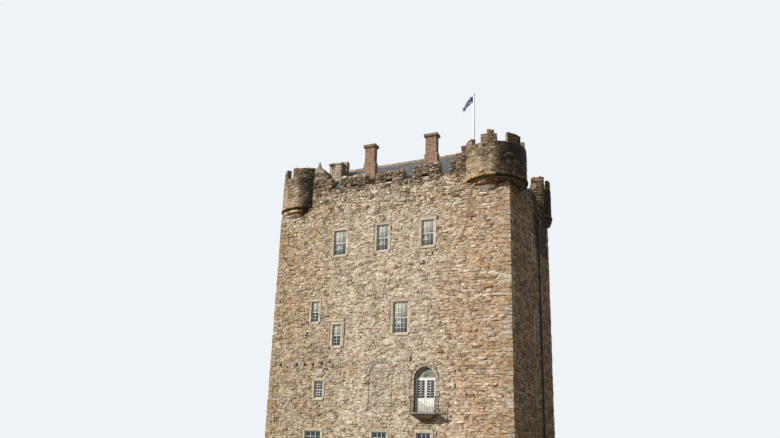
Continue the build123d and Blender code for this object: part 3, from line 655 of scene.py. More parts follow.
def mortarSkin(face, span, seed, tint, holes=(), arches=(),
               cell=0.08, base=0.006, swell=0.05, size=0.42, raked=None):
    u0, u1, v0, v1 = span
    columns, rows = max(2, round((u1 - u0) / cell)), max(2, round((v1 - v0) / cell))
    u, v = np.meshgrid(np.linspace(u0, u1, columns + 1), np.linspace(v0, v1, rows + 1), indexing="ij")
    lump = unevenness(seed, u, v, size, 2, 1.7) * 0.5 + unevenness(seed + 7, u, v, size * 0.42, 2, 1.6) * 0.5
    w = base + swell * (lump - 0.42) * 2.6 - (raked(u, v) if raked else 0)
    midU, midV = ((grid[:-1, :-1] + grid[1:, 1:]) / 2 for grid in (u, v))
    kept = np.ones(midU.shape, bool)
    for left, right, low, high in holes:
        rim = 0.05 if right - left > 0.4 else -0.02
        kept &= ~((midU > left + rim) & (midU < right - rim) & (midV > low + rim) & (midV < high - rim))
    for centre, spring, radius in arches:
        kept &= ~((midV > spring - 0.1) & ((midU - centre) ** 2 + (midV - spring) ** 2 < (radius - 0.06) ** 2))
    inside = np.zeros(u.shape, int)
    for du in (0, 1):
        for dv in (0, 1):
            inside[du:columns + du, dv:rows + dv] += kept
    w = np.where(inside == 4, w, -0.03)
    local = np.random.default_rng(seed)
    shake = cell * 0.22
    inner = (inside == 4) & (u > u0) & (u < u1) & (v > v0) & (v < v1)
    u = u + np.where(inner, local.uniform(-shake, shake, u.shape), 0)
    v = v + np.where(inner, local.uniform(-shake, shake, v.shape), 0)
    # painted shade: the skin is darker and more orange where its lumps lie lower
    mortarLowShade = np.stack([0.78 + 0.46 * lump, 0.71 + 0.58 * lump, 0.61 + 0.74 * lump], -1)
    tints = np.stack(tint(u, v), -1) * mortarLowShade
    corner = np.arange(u.size).reshape(u.shape)
    grids = (corner[:-1, :-1], corner[1:, :-1], corner[1:, 1:], corner[:-1, 1:])
    a, b, c, d = (grid[kept] for grid in grids)
    triangles = np.concatenate([np.stack([a, b, c], -1), np.stack([a, c, d], -1)])
    used, triangles = np.unique(triangles, return_inverse=True)
    return face(u, v, w).reshape(-1, 3)[used], triangles.reshape(-1, 3), tints.reshape(-1, 3)[used]


def fade(value, start, end):
    t = np.clip((value - start) / (end - start), 0, 1)
    return t * t * (3 - 2 * t)


# Stone colours and the way that courses are laid

stoneColours = {
    "warm": [
        (0.64, 0.535, 0.415), (0.62, 0.51, 0.39), (0.67, 0.58, 0.47), (0.60, 0.48, 0.35),
        (0.63, 0.54, 0.43), (0.62, 0.52, 0.40), (0.56, 0.43, 0.295), (0.71, 0.62, 0.52),
    ],
    "orange": [(0.60, 0.44, 0.265), (0.56, 0.39, 0.225), (0.61, 0.465, 0.30)],
    "gold": [(0.58, 0.36, 0.12), (0.52, 0.31, 0.10), (0.62, 0.43, 0.19)],
    "grey": [(0.53, 0.47, 0.385), (0.49, 0.435, 0.355), (0.56, 0.50, 0.41)],
    "rust": [(0.42, 0.245, 0.13), (0.47, 0.28, 0.14)],
    "black": [(0.115, 0.095, 0.07), (0.09, 0.075, 0.055), (0.15, 0.12, 0.085)],
    "brown": [(0.30, 0.205, 0.12), (0.25, 0.165, 0.095), (0.34, 0.25, 0.15)],
    "olive": [(0.25, 0.205, 0.135), (0.20, 0.165, 0.11), (0.30, 0.25, 0.17), (0.36, 0.30, 0.20)],
    "pale": [(0.66, 0.56, 0.41), (0.60, 0.50, 0.36), (0.70, 0.61, 0.47)],
}
mixes = {
    "wall": {"warm": 0.92, "orange": 0.04, "grey": 0.02, "pale": 0.02},
    "top": {"warm": 0.60, "orange": 0.08, "grey": 0.14, "brown": 0.10, "olive": 0.05, "pale": 0.03},
    "weathered": {"warm": 0.22, "orange": 0.05, "grey": 0.20, "brown": 0.17, "olive": 0.36},
    "blocked": {"grey": 0.85, "warm": 0.15},
    "shade": {"orange": 0.40, "brown": 0.34, "rust": 0.12, "olive": 0.14},
    "margin": {"pale": 0.8, "warm": 0.2},
    "coping": {"olive": 0.35, "brown": 0.65},
    "lowLeft": {"warm": 0.78, "grey": 0.16, "brown": 0.06},
    "farLeft": {"warm": 0.52, "orange": 0.27, "gold": 0.12, "brown": 0.06, "rust": 0.03},
    "left": {"warm": 0.80, "orange": 0.15, "brown": 0.02, "grey": 0.03},
    "right": {"warm": 0.77, "orange": 0.18, "rust": 0.03, "pale": 0.02},
    "sooted": {"black": 0.7, "brown": 0.3},
    "red": {"warm": 0.55, "orange": 0.2, "rust": 0.25},
    "grey": {"grey": 1},
    "warm": {"warm": 1},
    "pale": {"pale": 1},
    "quoin": {"warm": 0.5, "orange": 0.5},
    "warmGrey": {"grey": 0.6, "warm": 0.4},
    "halfGrey": {"grey": 0.5, "warm": 0.5},
    "brownWarm": {"brown": 0.4, "warm": 0.6},
    "clean": {"warm": 0.62, "orange": 0.18, "grey": 0.12, "brown": 0.08},
    "stained": {"warm": 0.20, "olive": 0.42, "brown": 0.22, "grey": 0.16},
    "dark": {"olive": 0.55, "brown": 0.25, "black": 0.2},
    "blackest": {"black": 0.75, "olive": 0.25},
    "blackBrown": {"black": 0.75, "brown": 0.25},
    "lichen": {"gold": 0.45, "orange": 0.4, "rust": 0.05, "olive": 0.10},
    "grime": {"brown": 0.6, "rust": 0.15, "black": 0.25},
    "chimney": {"warm": 0.3, "grey": 0.6, "olive": 0.1},
    "stub": {"olive": 0.5, "warm": 0.5},
    "merlon": {"olive": 0.4, "grey": 0.35, "brown": 0.25},
}


def pickColour(rng, mix, level=1.0):
    total, dart = 0, rng.random() * sum(mixes[mix].values())
    for family, share in mixes[mix].items():
        total += share
        if dart <= total:
            break
    colour = rng.choice(stoneColours[family])
    light = level * rng.uniform(0.93, 1.06)
    return [c * light for c in colour]


def clearOf(spans, left, right):
    kept = []
    for a, b in spans:
        if right <= a or left >= b:
            kept.append((a, b))
            continue
        if left > a:
            kept.append((a, left))
        if right < b:
            kept.append((right, b))
    return kept


def freeSpans(u0, u1, va, vb, holes, arches):
    spans, strips = [(u0, u1)], []
    for left, right, low, high in holes:
        if low < vb and high > va and left < u1 and right > u0:
            spans = clearOf(spans, left, right)
            for foot, top in ((va, low), (high, vb)):
                if top - foot > 0.07:
                    strips.append((max(left, u0), min(right, u1), foot, top))
    middle = (va + vb) / 2
    for centre, spring, radius in arches:
        if spring < middle < spring + radius:
            half = sqrt(radius ** 2 - (middle - spring) ** 2)
            spans = clearOf(spans, centre - half, centre + half)

    def inArch(a, b, low, high):
        across, up = (a + b) / 2, (low + high) / 2
        return any(high > spring and (across - centre) ** 2 + (up - spring) ** 2 < radius ** 2
                   for centre, spring, radius in arches)
    return [(a, b, va, vb) for a, b in spans if b - a > 0.05] + [s for s in strips if not inArch(*s)]


def layCourses(rng, u0, u1, v0, v1, holes=(), arches=(), course=(0.17, 0.31), length=(0.30, 0.72),
               depth=(0.02, 0.07), mix=None, level=1.0, tone=None, stretch=None, proud=0.0):
    heights, total = [], 0
    while total < v1 - v0 - course[0] * 0.5:
        heights.append(rng.uniform(*course))
        total += heights[-1]
    heights = heights or [v1 - v0]
    scale = (v1 - v0) / sum(heights)
    stones, va = [], v0
    for height in heights:
        vb = va + height * scale
        for a, b, low, high in freeSpans(u0, u1, va, vb, holes, arches):
            u, tall = a, high - low
            while u < b - 0.02:
                step = rng.uniform(*length) * (0.75 + 0.25 * tall / 0.24) * (stretch(u) if stretch else 1)
                if b - u - step < length[0] * 0.7:
                    step = b - u if b - u < length[1] * 1.25 else (b - u) / 2
                palette, shade = tone(u + step / 2, (low + high) / 2) if tone else (mix, level)
                levels = [low, high]
                if rng.random() < 0.16 and tall > 0.2 and step < 0.5:
                    levels.insert(1, low + tall * rng.uniform(0.4, 0.6))
                for foot, top in zip(levels, levels[1:]):
                    out = rng.uniform(*depth) + (rng.uniform(0.02, 0.05) if rng.random() < proud else 0)
                    stones.append([u, u + step, foot, top, out, 0.03, *pickColour(rng, palette, shade)])
                u += step
        va = vb
    return stones


# Openings, seen from outside each wall, in metres

openings = {
    "front": [
        (-4.45, -3.38, 15.70, 17.68), (-0.79, 0.17, 15.75, 17.75), (2.83, 3.79, 15.77, 17.75),
        (0.73, 1.90, 9.50, 11.78), (-6.09, -5.45, 10.61, 12.19), (-4.17, -3.46, 8.75, 10.35),
        (-5.47, -4.76, 5.00, 6.25), (-6.02, -4.72, 1.30, 2.70), (-0.64, 0.48, 1.30, 2.70), (2.71, 3.73, 1.30, 2.70),
    ],
    "right": [(0, 1.0, 15.90, 17.80), (0.30, 1.06, 9.60, 11.80), (0.30, 0.90, 4.94, 6.80)],
    "back": [
        (-4.40, -3.40, 15.75, 17.75), (-0.5, 0.5, 15.75, 17.75), (3.40, 4.40, 15.75, 17.75), (-0.6, 0.6, 9.50, 11.78),
        (4.90, 5.60, 10.60, 12.20), (-5.50, -4.80, 5.00, 6.25), (4.50, 5.50, 1.30, 2.70),
    ],
    "left": [(-0.5, 0.5, 15.90, 17.80), (-0.4, 0.4, 9.60, 11.80), (-0.3, 0.3, 4.94, 6.80)],
}
# columns, rows and whether the upper sash has pale panes, painted as the sky reflected in the glass and the blinds
# behind it, for each opening
sashGrids = {
    "front": [(3, 2, True)] * 3 + [(4, 3, True), (2, 3, True), (2, 3, True), (3, 3, False)] + [(3, 2, False)] * 3,
    "right": [(3, 2, True), (3, 3, False), (2, 3, False)],
    "back": [(3, 2, True)] * 3 + [(4, 3, True), (2, 3, True), (3, 3, False), (3, 2, False)],
    "left": [(3, 2, True), (3, 3, True), (2, 3, False)],
}
margins = {"width": 0.19, "sill": 0.17, "sillEnd": 0.1, "lintel": 0.24, "proud": 0.045, "bed": 0.065, "inside": 0.006}
doorway = {"left": 2.47, "right": 4.04, "sill": 3.98, "spring": 6.335, "jamb": 0.24, "middle": 3.255, "radius": 0.785}
blockedArch = {"middle": -0.08, "radius": 0.89, "foot": 3.99, "spring": 6.62, "ring": 0.22, "top": 7.4}
relievingArch = {"middle": 3.22, "spring": 2.55, "radius": 0.88, "ring": 0.14}
# seen from behind the tower
entrance = {"left": -1.8, "right": -0.6, "low": 0.3, "high": 2.45}
putlogs = [(x, z, 0.15, 0.2) for x, z in (
    (-8.5, 7.48), (-7.08, 7.48), (-6.38, 7.48), (-5.69, 7.48), (-4.92, 7.48), (-3.98, 7.31),
)] + [(2.2, 7.67, 0.12, 0.3)]
frontMerlons = [
    (-5.43, -4.91, 22.0), (-4.15, -1.925, 22.05), (-1.10, 1.255, 21.95), (2.03, 4.16, 22.1),
    (4.99, 5.45, 22.14), (5.45, 5.87, 22.63), (5.87, 6.21, 23.12),
]
loops = [(x - 0.31, x + 0.31, 21.12, 21.40) for x in (-2.925, 0.04, 3.03)]
steppedEnd = {"left": -7.0, "capLeft": -6.62, "right": -5.43, "top": 22.27}
sideMerlons = {
    "right": [(-3.3, -0.82, 21.7), (0.42, 2.32, 21.7), (3.25, 4.9, 21.7)],
    "left": [(-2.5, -0.42, 21.7), (0.82, 3.3, 21.7)],
    "back": [(-8.575 + 3.0 * i, -6.425 + 3.0 * i, 22.0) for i in range(6)],
}

# angles from +X, in degrees; merlons and blocks with their tops
turrets = {
    "front_right": {
        "centre": (8.0, -4.7), "radius": 2.27, "wall": 0.45, "setback": 0.12, "inset": 1.4,
        "floor": 21.65, "sill": 22.83, "corbelTop": 20.45, "courses": [(0.29, 0.44), (0.28, 0.25), (0.43, 0.14)],
        "merlons": [
            (-172, -124.5, 23.42), (-102, -70, 23.43), (-49.5, -16, 23.54),
            (4, 34, 23.42), (46, 68, 23.38), (128, 162, 23.40),
        ],
        "blocks": [(-89, -76, 23.43, 23.74)], "doorway": (72, 98),
    },
    "front_left": {
        "centre": (-8.015, -4.715), "radius": 1.955, "wall": 0.4, "setback": 0.04, "inset": 1.385,
        "floor": 21.45, "sill": 22.47, "corbelTop": 20.05, "courses": [(0.27, 0.24), (0.32, 0.15), (0.27, 0.07)],
        "merlons": [(-99, -28, 23.22), (-162, -123, 23.29), (-8, 30, 23.25), (46, 74, 23.25), (138, 178, 23.25)],
        "blocks": [], "doorway": (80, 108),
    },
    "back_right": {
        "centre": (8.92, 5.62), "radius": 0.96, "wall": 0.3, "setback": 0.03, "inset": 0.48,
        "floor": 22.3, "sill": 23.38, "corbelTop": 20.96, "courses": [(0.34, 0.09), (0.27, 0.09), (0.2, 0.09)],
        "merlons": [(-124, -50, 24.4), (-26, 12, 24.1), (40, 84, 24.2), (110, 160, 24.2)],
        "blocks": [], "doorway": (-168, -134),
    },
}
leftTurret = turrets["front_left"]
turrets["back_left"] = {
    **leftTurret, "centre": (-8.015, 4.715), "doorway": (-108, -80),
    "merlons": [(-last, -first, top) for first, last, top in leftTurret["merlons"]],
}
cornerOf = {
    "front": ("front_left", "front_right"), "right": ("front_right", "back_right"),
    "back": ("back_right", "back_left"), "left": ("back_left", "front_left"),
}


def drumSpans(turret, side):
    # the stretches of a wall face that a turret hides, with their levels
    (alongX, alongY, _), (outX, outY, _) = sides[side]
    x, y = turret["centre"]
    middle, away = x * alongX + y * alongY, x * outX + y * outY - distanceOf[side]
    level, reach = turret["corbelTop"], turret["radius"]
    steps = [(reach, level, 40.0)]
    for height, ledge in turret["courses"]:
        steps.append((reach - ledge * 0.35, level - height * 0.6, level))
        steps.append((reach - ledge * 0.8, level - height, level - height * 0.6))
        level -= height
        reach -= ledge
    halves = [(sqrt(max(0, radius ** 2 - away ** 2)), low, high) for radius, low, high in steps]
    return [(middle - half, middle + half, low, high) for half, low, high in halves if half]


def wallHoles(side):
    m = margins
    holes = [(left - m["width"], right + m["width"], low - m["sill"], high + m["lintel"])
             for left, right, low, high in openings[side]]
    for name in cornerOf[side]:
        holes += drumSpans(turrets[name], side)
    return holes


# How each wall is coloured: stones by mix and level, mortar by red, green and blue

def frontTone(u, v):
    if v > 18.0:
        zones = ((20.7, "weathered", 0.65), (20.0, "top", 1.04), (18.9, "top", 1.12), (0, "wall", 0.99))
        return next((mix, level) for foot, mix, level in zones if v > foot)
    blocked = abs(u - blockedArch["middle"]) < blockedArch["radius"]
    if blocked and blockedArch["foot"] < v < blockedArch["spring"] + 0.6:
        return "blocked", 0.84
    if u < -3 and v < 9:
        return "lowLeft", 0.84
    if u < -7.6:
        return "farLeft", 0.86
    if u < -4.5:
        return "left", 0.87
    return ("right" if u > 5.0 else "wall"), 0.93


def sideTone(u, v):
    if v > 17.2 and u > 0.8:
        return "sooted", 0.40
    return ("weathered" if v > 20.2 else "shade"), 0.80


def backTone(u, v):
    return ("weathered" if v > 20.2 else "wall"), 0.95


def frontMortar(u, v):
    # pale in the middle, warmer to the corner, greyer low on the left, dark under the parapet
    top, corner = fade(v, 18.3, 20.6), fade(u, 3.5, 7.5)
    low, left = fade(u, -3, -6) * fade(v, 10, 7), fade(u, -2.5, -6.5)
    shares = ((0.59, 0.07, 0.06, 0.04, 0.07), (0.49, 0.065, 0.11, 0.03, 0.095), (0.38, 0.05, 0.14, 0.02, 0.12))
    return [plain - a * top - b * corner - c * low - d * left for plain, a, b, c, d in shares]


def shadeMortar(u, v):
    dark = 1 - 0.9 * fade(u, -1.0, 2.5) * fade(v, 15.0, 18.5) - 0.25 * fade(v, 19.0, 20.4)
    return [part * dark for part in (0.40, 0.28, 0.15)]


def backMortar(u, v):
    top = fade(v, 18.8, 20.6)
    return [part - less * top for part, less in ((0.55, 0.2), (0.455, 0.17), (0.335, 0.13))]


def rakedJoints(u, v):
    # joints stand open towards both ends of the front
    return 0.010 * fade(u, 3.0, 6.0) + 0.008 * fade(u, -3.0, -6.0) + 0.008 * fade(v, 18.0, 19.5) - 0.004


def lengthen(u):
    return 1 + 0.75 * min(1, max(0, (u - 3.2) / 3.0))


# Dressed stones around openings and arches

def besideEdges(rng, left, right, width, spread, inside, stretch):
    # uprights on both sides of an opening, as stretches of random width
    for edge, side in ((left, -1), (right, 1)):
        for foot, top in stretch():
            reach = width * rng.uniform(*spread)
            a, b = sorted((edge + side * reach, edge - side * inside))
            yield a, b, foot, top


def dressMargins(rng, windows, mix="margin", level=1.0):
    m, stones = margins, []
    for left, right, low, high in windows:
        upright = besideEdges(rng, left, right, m["width"], (0.85, 1.2), m["inside"],
                              lambda: stretches(rng, low, high, (0.45, 0.85), 0.25, 0.05))
        stones += [[*place, m["proud"], m["bed"], *pickColour(rng, mix, level)] for place in upright]
        lintel = (left - m["width"], right + m["width"], high - m["inside"], high + m["lintel"], m["proud"] * 1.1)
        sill = (left - m["sillEnd"], right + m["sillEnd"], low - m["sill"], low + m["inside"], m["proud"] * 1.5)
        for place, light in ((lintel, level * 0.93), (sill, level)):
            stones.append([*place, m["bed"], *pickColour(rng, mix, light)])
    return stones


def arcStones(rng, radius, width, start, end, size, proud, bed, mix, level=1.0):
    # voussoirs, as stretches of arc from the left springing
    start, end = (radius * radians(angle) for angle in (start, end))
    pieces = evenly(start, end, max(3, round((end - start) / size)))
    return [[*piece, 0, width, proud * rng.uniform(0.85, 1.15), bed, *pickColour(rng, mix, level)] for piece in pieces]


# Old openings and marks on the front, built up long ago

blockedWindow = {"outline": (5.11, 6.28, 5.04, 6.58), "jamb": 0.30, "lintel": 0.20, "joint": 0.08}
cracks = [(4.11, 16.72, 17.9), (0.42, 17.02, 18.08), (5.47, 5.06, 6.38)]
niche = (7.29, 8.23, 3.34, 3.60)
ledges = [((3.61, 7.63), (4.42, 7.34)), ((5.62, 6.92), (6.22, 6.77)), ((-7.3, 13.2), (-6.2, 13.28))]
# left, right, low, high, depth, bed, mix and level: a raised surround, a blocked slit and a corbel stone
marks = [
    ((-4.47, -3.22, 10.60, 10.75, 0.10, 0.03), "margin", 1.0),
    ((-4.47, -4.39, 8.62, 10.60, 0.085, 0.03), "margin", 1.0),
    ((-3.25, -3.18, 8.62, 10.60, 0.085, 0.03), "margin", 1.0),
    ((-5.45, -4.80, 6.62, 7.10, 0.06, 0.03), "grey", 1.0),
    ((2.70, 3.04, 14.46, 14.72, 0.17, 0.03), "grey", 0.85),
]


def oldOpenings(rng):
    w, shadow = blockedWindow, (0.004, 0.03, 0.09, 0.06, 0.035)
    left, right, low, high = w["outline"]
    inner, outer, head = left + w["jamb"], right - w["jamb"] * 0.9, high - w["lintel"]
    stones = [[left, right, head, high, 0.05, 0.03, *pickColour(rng, "grey", 0.95)]]
    jamb = {"course": (0.28, 0.42), "length": (0.3, 0.35), "depth": (0.035, 0.05), "mix": "warmGrey", "level": 0.95}
    fill = {"course": (0.13, 0.2), "length": (0.16, 0.3), "depth": (0.0, 0.03), "mix": "red", "level": 0.98}
    for a, b, laid in ((left, inner, jamb), (outer, right, jamb), (inner + w["joint"], outer, fill)):
        stones += layCourses(rng, a, b, low, head, **laid)
    # painted shade: a dark strip lies at the bottom of each crack
    stones += [[x - 0.035, x + 0.035, foot, top, 0.012, 0.03, 0.10, 0.065, 0.035] for x, foot, top in cracks]
    a, b, foot, top = niche
    mouth, side = a + 0.06, foot + 0.15
    stones.append([mouth, b - 0.02, foot, side, 0.05, 0.03, *pickColour(rng, "pale")])
    return stones + [[a, b, side, top, *shadow], [a, mouth, foot, side, *shadow]]


def ledgeStones(rng):
    parts = []
    for (u0, v0), (u1, v1) in ledges:
        length = sqrt((u1 - u0) ** 2 + (v1 - v0) ** 2)
        along = ((u1 - u0) / length, 0, (v1 - v0) / length)
        slope = flatFace((u0, -keep["halfDepth"], v0), along, (0, -1, 0))
        strips = [[*part, -0.035, 0.03, 0.085, 0.03, *pickColour(rng, "wall", 0.9)] for part in evenly(0, length, 3)]
        parts.append(stamp(strips, rubbleShapes, slope, rng, edge=0.12, jitter=0.01))
    return parts


# Walls

frontSizes = {
    "low": {"course": (0.13, 0.25), "length": (0.17, 0.48), "depth": (0.002, 0.046), "proud": 0.17},
    "head": {"course": (0.12, 0.22), "length": (0.17, 0.45), "depth": (0.006, 0.07), "proud": 0.15},
    "parapet": {"course": (0.14, 0.25), "length": (0.2, 0.5), "depth": (0.01, 0.095)},
    "infill": {"course": (0.15, 0.24), "length": (0.2, 0.42), "depth": (0.0, 0.022)},
}
frontHead = 18.9


def blockedInfill(rng, blocked):
    b = blockedArch
    laid = layCourses(rng, *blocked[:3], b["spring"] + b["radius"], tone=frontTone, **frontSizes["infill"])
    kept = []
    for left, right, low, high, *rest in laid:
        rise = (low + high) / 2 - b["spring"]
        limit = b["radius"] if rise < 0 else sqrt(max(0.0, b["radius"] ** 2 - rise ** 2))
        left, right = max(left, b["middle"] - limit), min(right, b["middle"] + limit)
        if right - left > 0.06:
            kept.append([left, right, low, high, *rest])
    return kept


def frontStones(rng, reach, holes, blocked, arches):
    head, crenel = keep["wallHead"], keep["frontCrenel"]
    slits = [(x - 0.04, x + 0.04, low, high) for x, low, high in cracks]
    common = {"holes": holes + [blocked, blockedWindow["outline"], *slits, niche], "arches": arches,
              "tone": frontTone, "stretch": lengthen}
    stones = layCourses(rng, -reach, reach, 0.0, frontHead, **common, **frontSizes["low"])
    stones += layCourses(rng, -reach, reach, frontHead, head, **common, **frontSizes["head"])
    end = steppedEnd
    runs = [(-reach, reach, head, crenel)] + [(left, right, crenel, top) for left, right, top in frontMerlons]
    for run in runs + [(end["left"], end["right"], crenel, end["top"])]:
        stones += layCourses(rng, *run, holes=holes + loops, tone=frontTone, **frontSizes["parapet"])
    return stones + oldOpenings(rng)


def frontWall():
    rng, face, d = Random(101), faces["front"], doorway
    holes = wallHoles("front")
    holes.append((d["left"] - d["jamb"], d["right"] + d["jamb"], d["sill"] - 0.08, d["spring"]))
    holes += [(x - w / 2, x + w / 2, z - h / 2, z + h / 2) for x, z, w, h in putlogs]
    reach = keep["halfWidth"] - 0.42
    doorArch, oldArch, lowArch = ((a["middle"], a["spring"], a["radius"] + a.get("ring", a.get("jamb")))
                                  for a in (d, blockedArch, relievingArch))
    b = blockedArch
    blocked = (b["middle"] - b["radius"] - 0.01, b["middle"] + b["radius"] + 0.01, b["foot"], b["spring"])
    stones = frontStones(rng, reach, holes, blocked, [doorArch, oldArch])
    infill = blockedInfill(rng, blocked)
    rough = {"jitter": 0.026, "tilt": 0.05, "wave": 0.026}
    lifts = [[stone for stone in stones if (stone[2] < keep["frontSplit"]) == low] for low in (True, False)]
    parts = [stamp(lifts[0], rubbleShapes, face, rng, **rough)]
    parts.append(stamp(infill, rubbleShapes, face, rng, jitter=0.014, tilt=0.02))
    buildPiece("frontStones", parts, "rubble", "rubble_stone", angle=48)
    parts = [stamp(lifts[1], rubbleShapes, face, rng, **rough)]
    buildPiece("frontStonesUpper", parts, "rubble", "rubble_stone", angle=48)
    left, right = -reach - 0.3, reach + 0.3
    skins = [
        mortarSkin(face, (left, right, 0.0, keep["wallHead"]), 71, frontMortar, holes + [blocked],
                   [doorArch, lowArch, oldArch], raked=rakedJoints),
        mortarSkin(face, (*blocked[:3], b["top"]), 72, frontMortar, base=0.0, swell=0.02, size=0.3),
        mortarSkin(face, (left, right, keep["wallHead"], keep["frontCrenel"]), 73, frontMortar,
                   holes + loops, size=0.4),
    ]
    buildPiece("frontMortar", skins, "rubble", "rubble_stone")
    r = relievingArch
    old = arcStones(rng, b["radius"], b["ring"], 0, 180, 0.24, 0.055, 0.03, "grey", 0.8)
    relieving = arcStones(rng, r["radius"], r["ring"], 12, 168, 0.26, 0.05, 0.03, "halfGrey", 0.92)
    parts = [
        stamp(dressMargins(rng, openings["front"]), dressedShapes, face, rng, jitter=0.004),
        stamp(old, dressedShapes, archFace(face, b), rng, jitter=0.006),
        stamp(relieving, dressedShapes, archFace(face, r), rng, jitter=0.008),
    ]
    stones = [[*box, *pickColour(rng, mix, level)] for box, mix, level in marks]
    parts.append(stamp(stones, dressedShapes, face, rng))
    buildPiece("frontMargins", parts, "margin", "dressed_stone", angle=30)
    buildPiece("frontLedges", ledgeStones(rng), "rubble", "rubble_stone", angle=30)


plainSizes = {
    "right": {"course": (0.19, 0.31), "length": (0.26, 0.70)},
    "back": {"course": (0.21, 0.34), "length": (0.34, 0.92)},
    "left": {"course": (0.21, 0.34), "length": (0.34, 0.92)},
}


def plainWall(side, seed, tone, mortar, extraHoles=()):
    rng, face = Random(seed), faces[side]
    holes = wallHoles(side) + list(extraHoles)
    reach, head = reachOf[side] - 0.36, keep["wallHead"]
    crenel = keep["frontCrenel" if side == "back" else "sideCrenel"]
    stones = layCourses(rng, -reach, reach, 0.0, head, holes=holes, tone=tone, **plainSizes[side])
    rough = {"course": (0.14, 0.25), "length": (0.2, 0.5), "depth": (0.01, 0.09)}
    merlons = [(left, right, crenel, top) for left, right, top in sideMerlons[side]]
    for run in [(-reach, reach, head, crenel)] + merlons:
        stones += layCourses(rng, *run, holes=holes, tone=tone, **rough)
    parts = [stamp(stones, rubbleShapes, face, rng, jitter=0.02, tilt=0.03, wave=0.024)]
    buildPiece(side + "Stones", parts, "rubble", "rubble_stone", angle=48)
    span = (0.06 - reachOf[side], reachOf[side] - 0.06, 0.0, crenel)
    skin = mortarSkin(face, span, seed + 40, mortar, holes, cell=0.125, swell=0.045)
    buildPiece(side + "Mortar", [skin], "rubble", "rubble_stone")
    parts = [stamp(dressMargins(rng, openings[side], "warm", 0.85), dressedShapes, face, rng, jitter=0.004)]
    if side == "back":
        surround = dressMargins(rng, [tuple(entrance.values())])
        parts.append(stamp(surround, dressedShapes, face, rng, jitter=0.004))
    buildPiece(side + "Margins", parts, "rubble", "dressed_stone", angle=30)


quoinTops = {"front": 19.3, "right": 20.2, "back": 20.2, "left": 19.2}


def quoins():
    rng, parts = Random(202), []
    for first, second in (("front", "right"), ("right", "back"), ("back", "left"), ("left", "front")):
        top = min(quoinTops[first], quoinTops[second])
        ends, starts = [], []
        for number, (foot, head) in enumerate(stretches(rng, 0.0, top, (0.24, 0.38), 0.12)):
            proud = rng.uniform(0.04, 0.07)
            colour = pickColour(rng, "quoin", 0.80)
            shaded = pickColour(rng, "shade", 1.0)
            longer, shorter = (0.78, 0.42) if number % 2 else (0.42, 0.70)
            longer *= rng.uniform(0.85, 1.25)
            shorter *= rng.uniform(0.85, 1.2)
            edge, corner, stone = reachOf[first], -reachOf[second], (foot, head, proud, 0.03)
            ends.append([edge - longer, edge + proud, *stone, *(shaded if first == "right" else colour)])
            starts.append([corner + 0.004, corner + shorter, *stone, *(shaded if second == "right" else colour)])
        for side, stones in ((first, ends), (second, starts)):
            parts.append(stamp(stones, dressedShapes, faces[side], rng, jitter=0.01, tilt=0.01))
    buildPiece("quoins", parts, "rubble", "dressed_stone", angle=30)


frontWall()
plainWall("right", 303, sideTone, shadeMortar)
entranceHole = (entrance["left"] - 0.2, entrance["right"] + 0.2, entrance["low"] - 0.2, entrance["high"] + 0.25)
plainWall("back", 304, backTone, backMortar, [entranceHole])
plainWall("left", 305, backTone, backMortar)
quoins()
print("walls faced")


# Tops and ends of the parapets

backTops = [(max(-8.2, left), min(6.6, right), top) for left, right, top in sideMerlons["back"]]
cappedMerlons = {
    "front": [tuple(steppedEnd[key] for key in ("capLeft", "right", "top"))] + frontMerlons,
    "right": sideMerlons["right"][:2] + [(3.25, 4.79, 21.7)],
    "left": sideMerlons["left"],
    "back": [run for run in backTops if run[1] - run[0] > 0.3],
}
crenels = {
    "front": [(-4.91, -4.15), (-1.925, -1.10), (1.255, 2.03), (4.16, 4.99)],
    "right": [(-0.82, 0.42), (2.32, 3.25)],
    "left": [(-3.3, -2.5), (-0.42, 0.82)],
    "back": [(-6.425 + 3.0 * i, -5.575 + 3.0 * i) for i in range(4)],
}


def capRun(rng, side, left, right, top, rises):
    along, out = sides[side]
    depth = keep["parapetDepth"]
    plane = flatFace([*(v * (distanceOf[side] - depth) for v in out[:2]), top], along, (0, 0, 1))
    stones = []
    for a, b in stretches(rng, left - 0.02, right + 0.02, (0.28, 0.62), 0.18):
        # v is 0 at the parapet's inner edge and falls towards the outer one
        edges = (0.02, -depth - 0.04) if rng.random() < 0.45 else (0.02, -depth * 0.5, -depth - 0.04)
        for high, low in zip(edges, edges[1:]):
            rise = rng.uniform(*rises)
            stones.append([a, b, low, high, rise, 0.03, *pickColour(rng, "weathered", 0.95)])
    return stamp(stones, rubbleShapes, plane, rng, jitter=0.02, tilt=0.05)


def parapetTops():
    rng, parts, depth = Random(404), [], keep["parapetDepth"]
    for side, merlons in cappedMerlons.items():
        crenel = keep["frontCrenel" if side in ("front", "back") else "sideCrenel"]
        along, out = np.array(sides[side], float)
        for left, right, top in merlons:
            parts.append(capRun(rng, side, left, right, top, (0.04, 0.17)))
            for end, turn in ((left, -1), (right, 1)):
                origin = along * end + out * (distanceOf[side] - (depth if turn < 0 else 0))
                ends = flatFace(origin, out * -turn, along * turn)
                stones = layCourses(rng, 0.0, depth, crenel, top, course=(0.15, 0.25), length=(0.2, 0.4),
                                    depth=(0.01, 0.05), mix="weathered", level=0.9)
                parts.append(stamp(stones, rubbleShapes, ends, rng, jitter=0.015, tilt=0.03))
        for left, right in crenels[side]:
            parts.append(capRun(rng, side, left, right, crenel, (0.02, 0.07)))
    buildPiece("parapetTops", parts, "weathered", "rubble_stone", angle=48)


# Turrets: drums, merlons and corbel rolls

sunBearing = 136


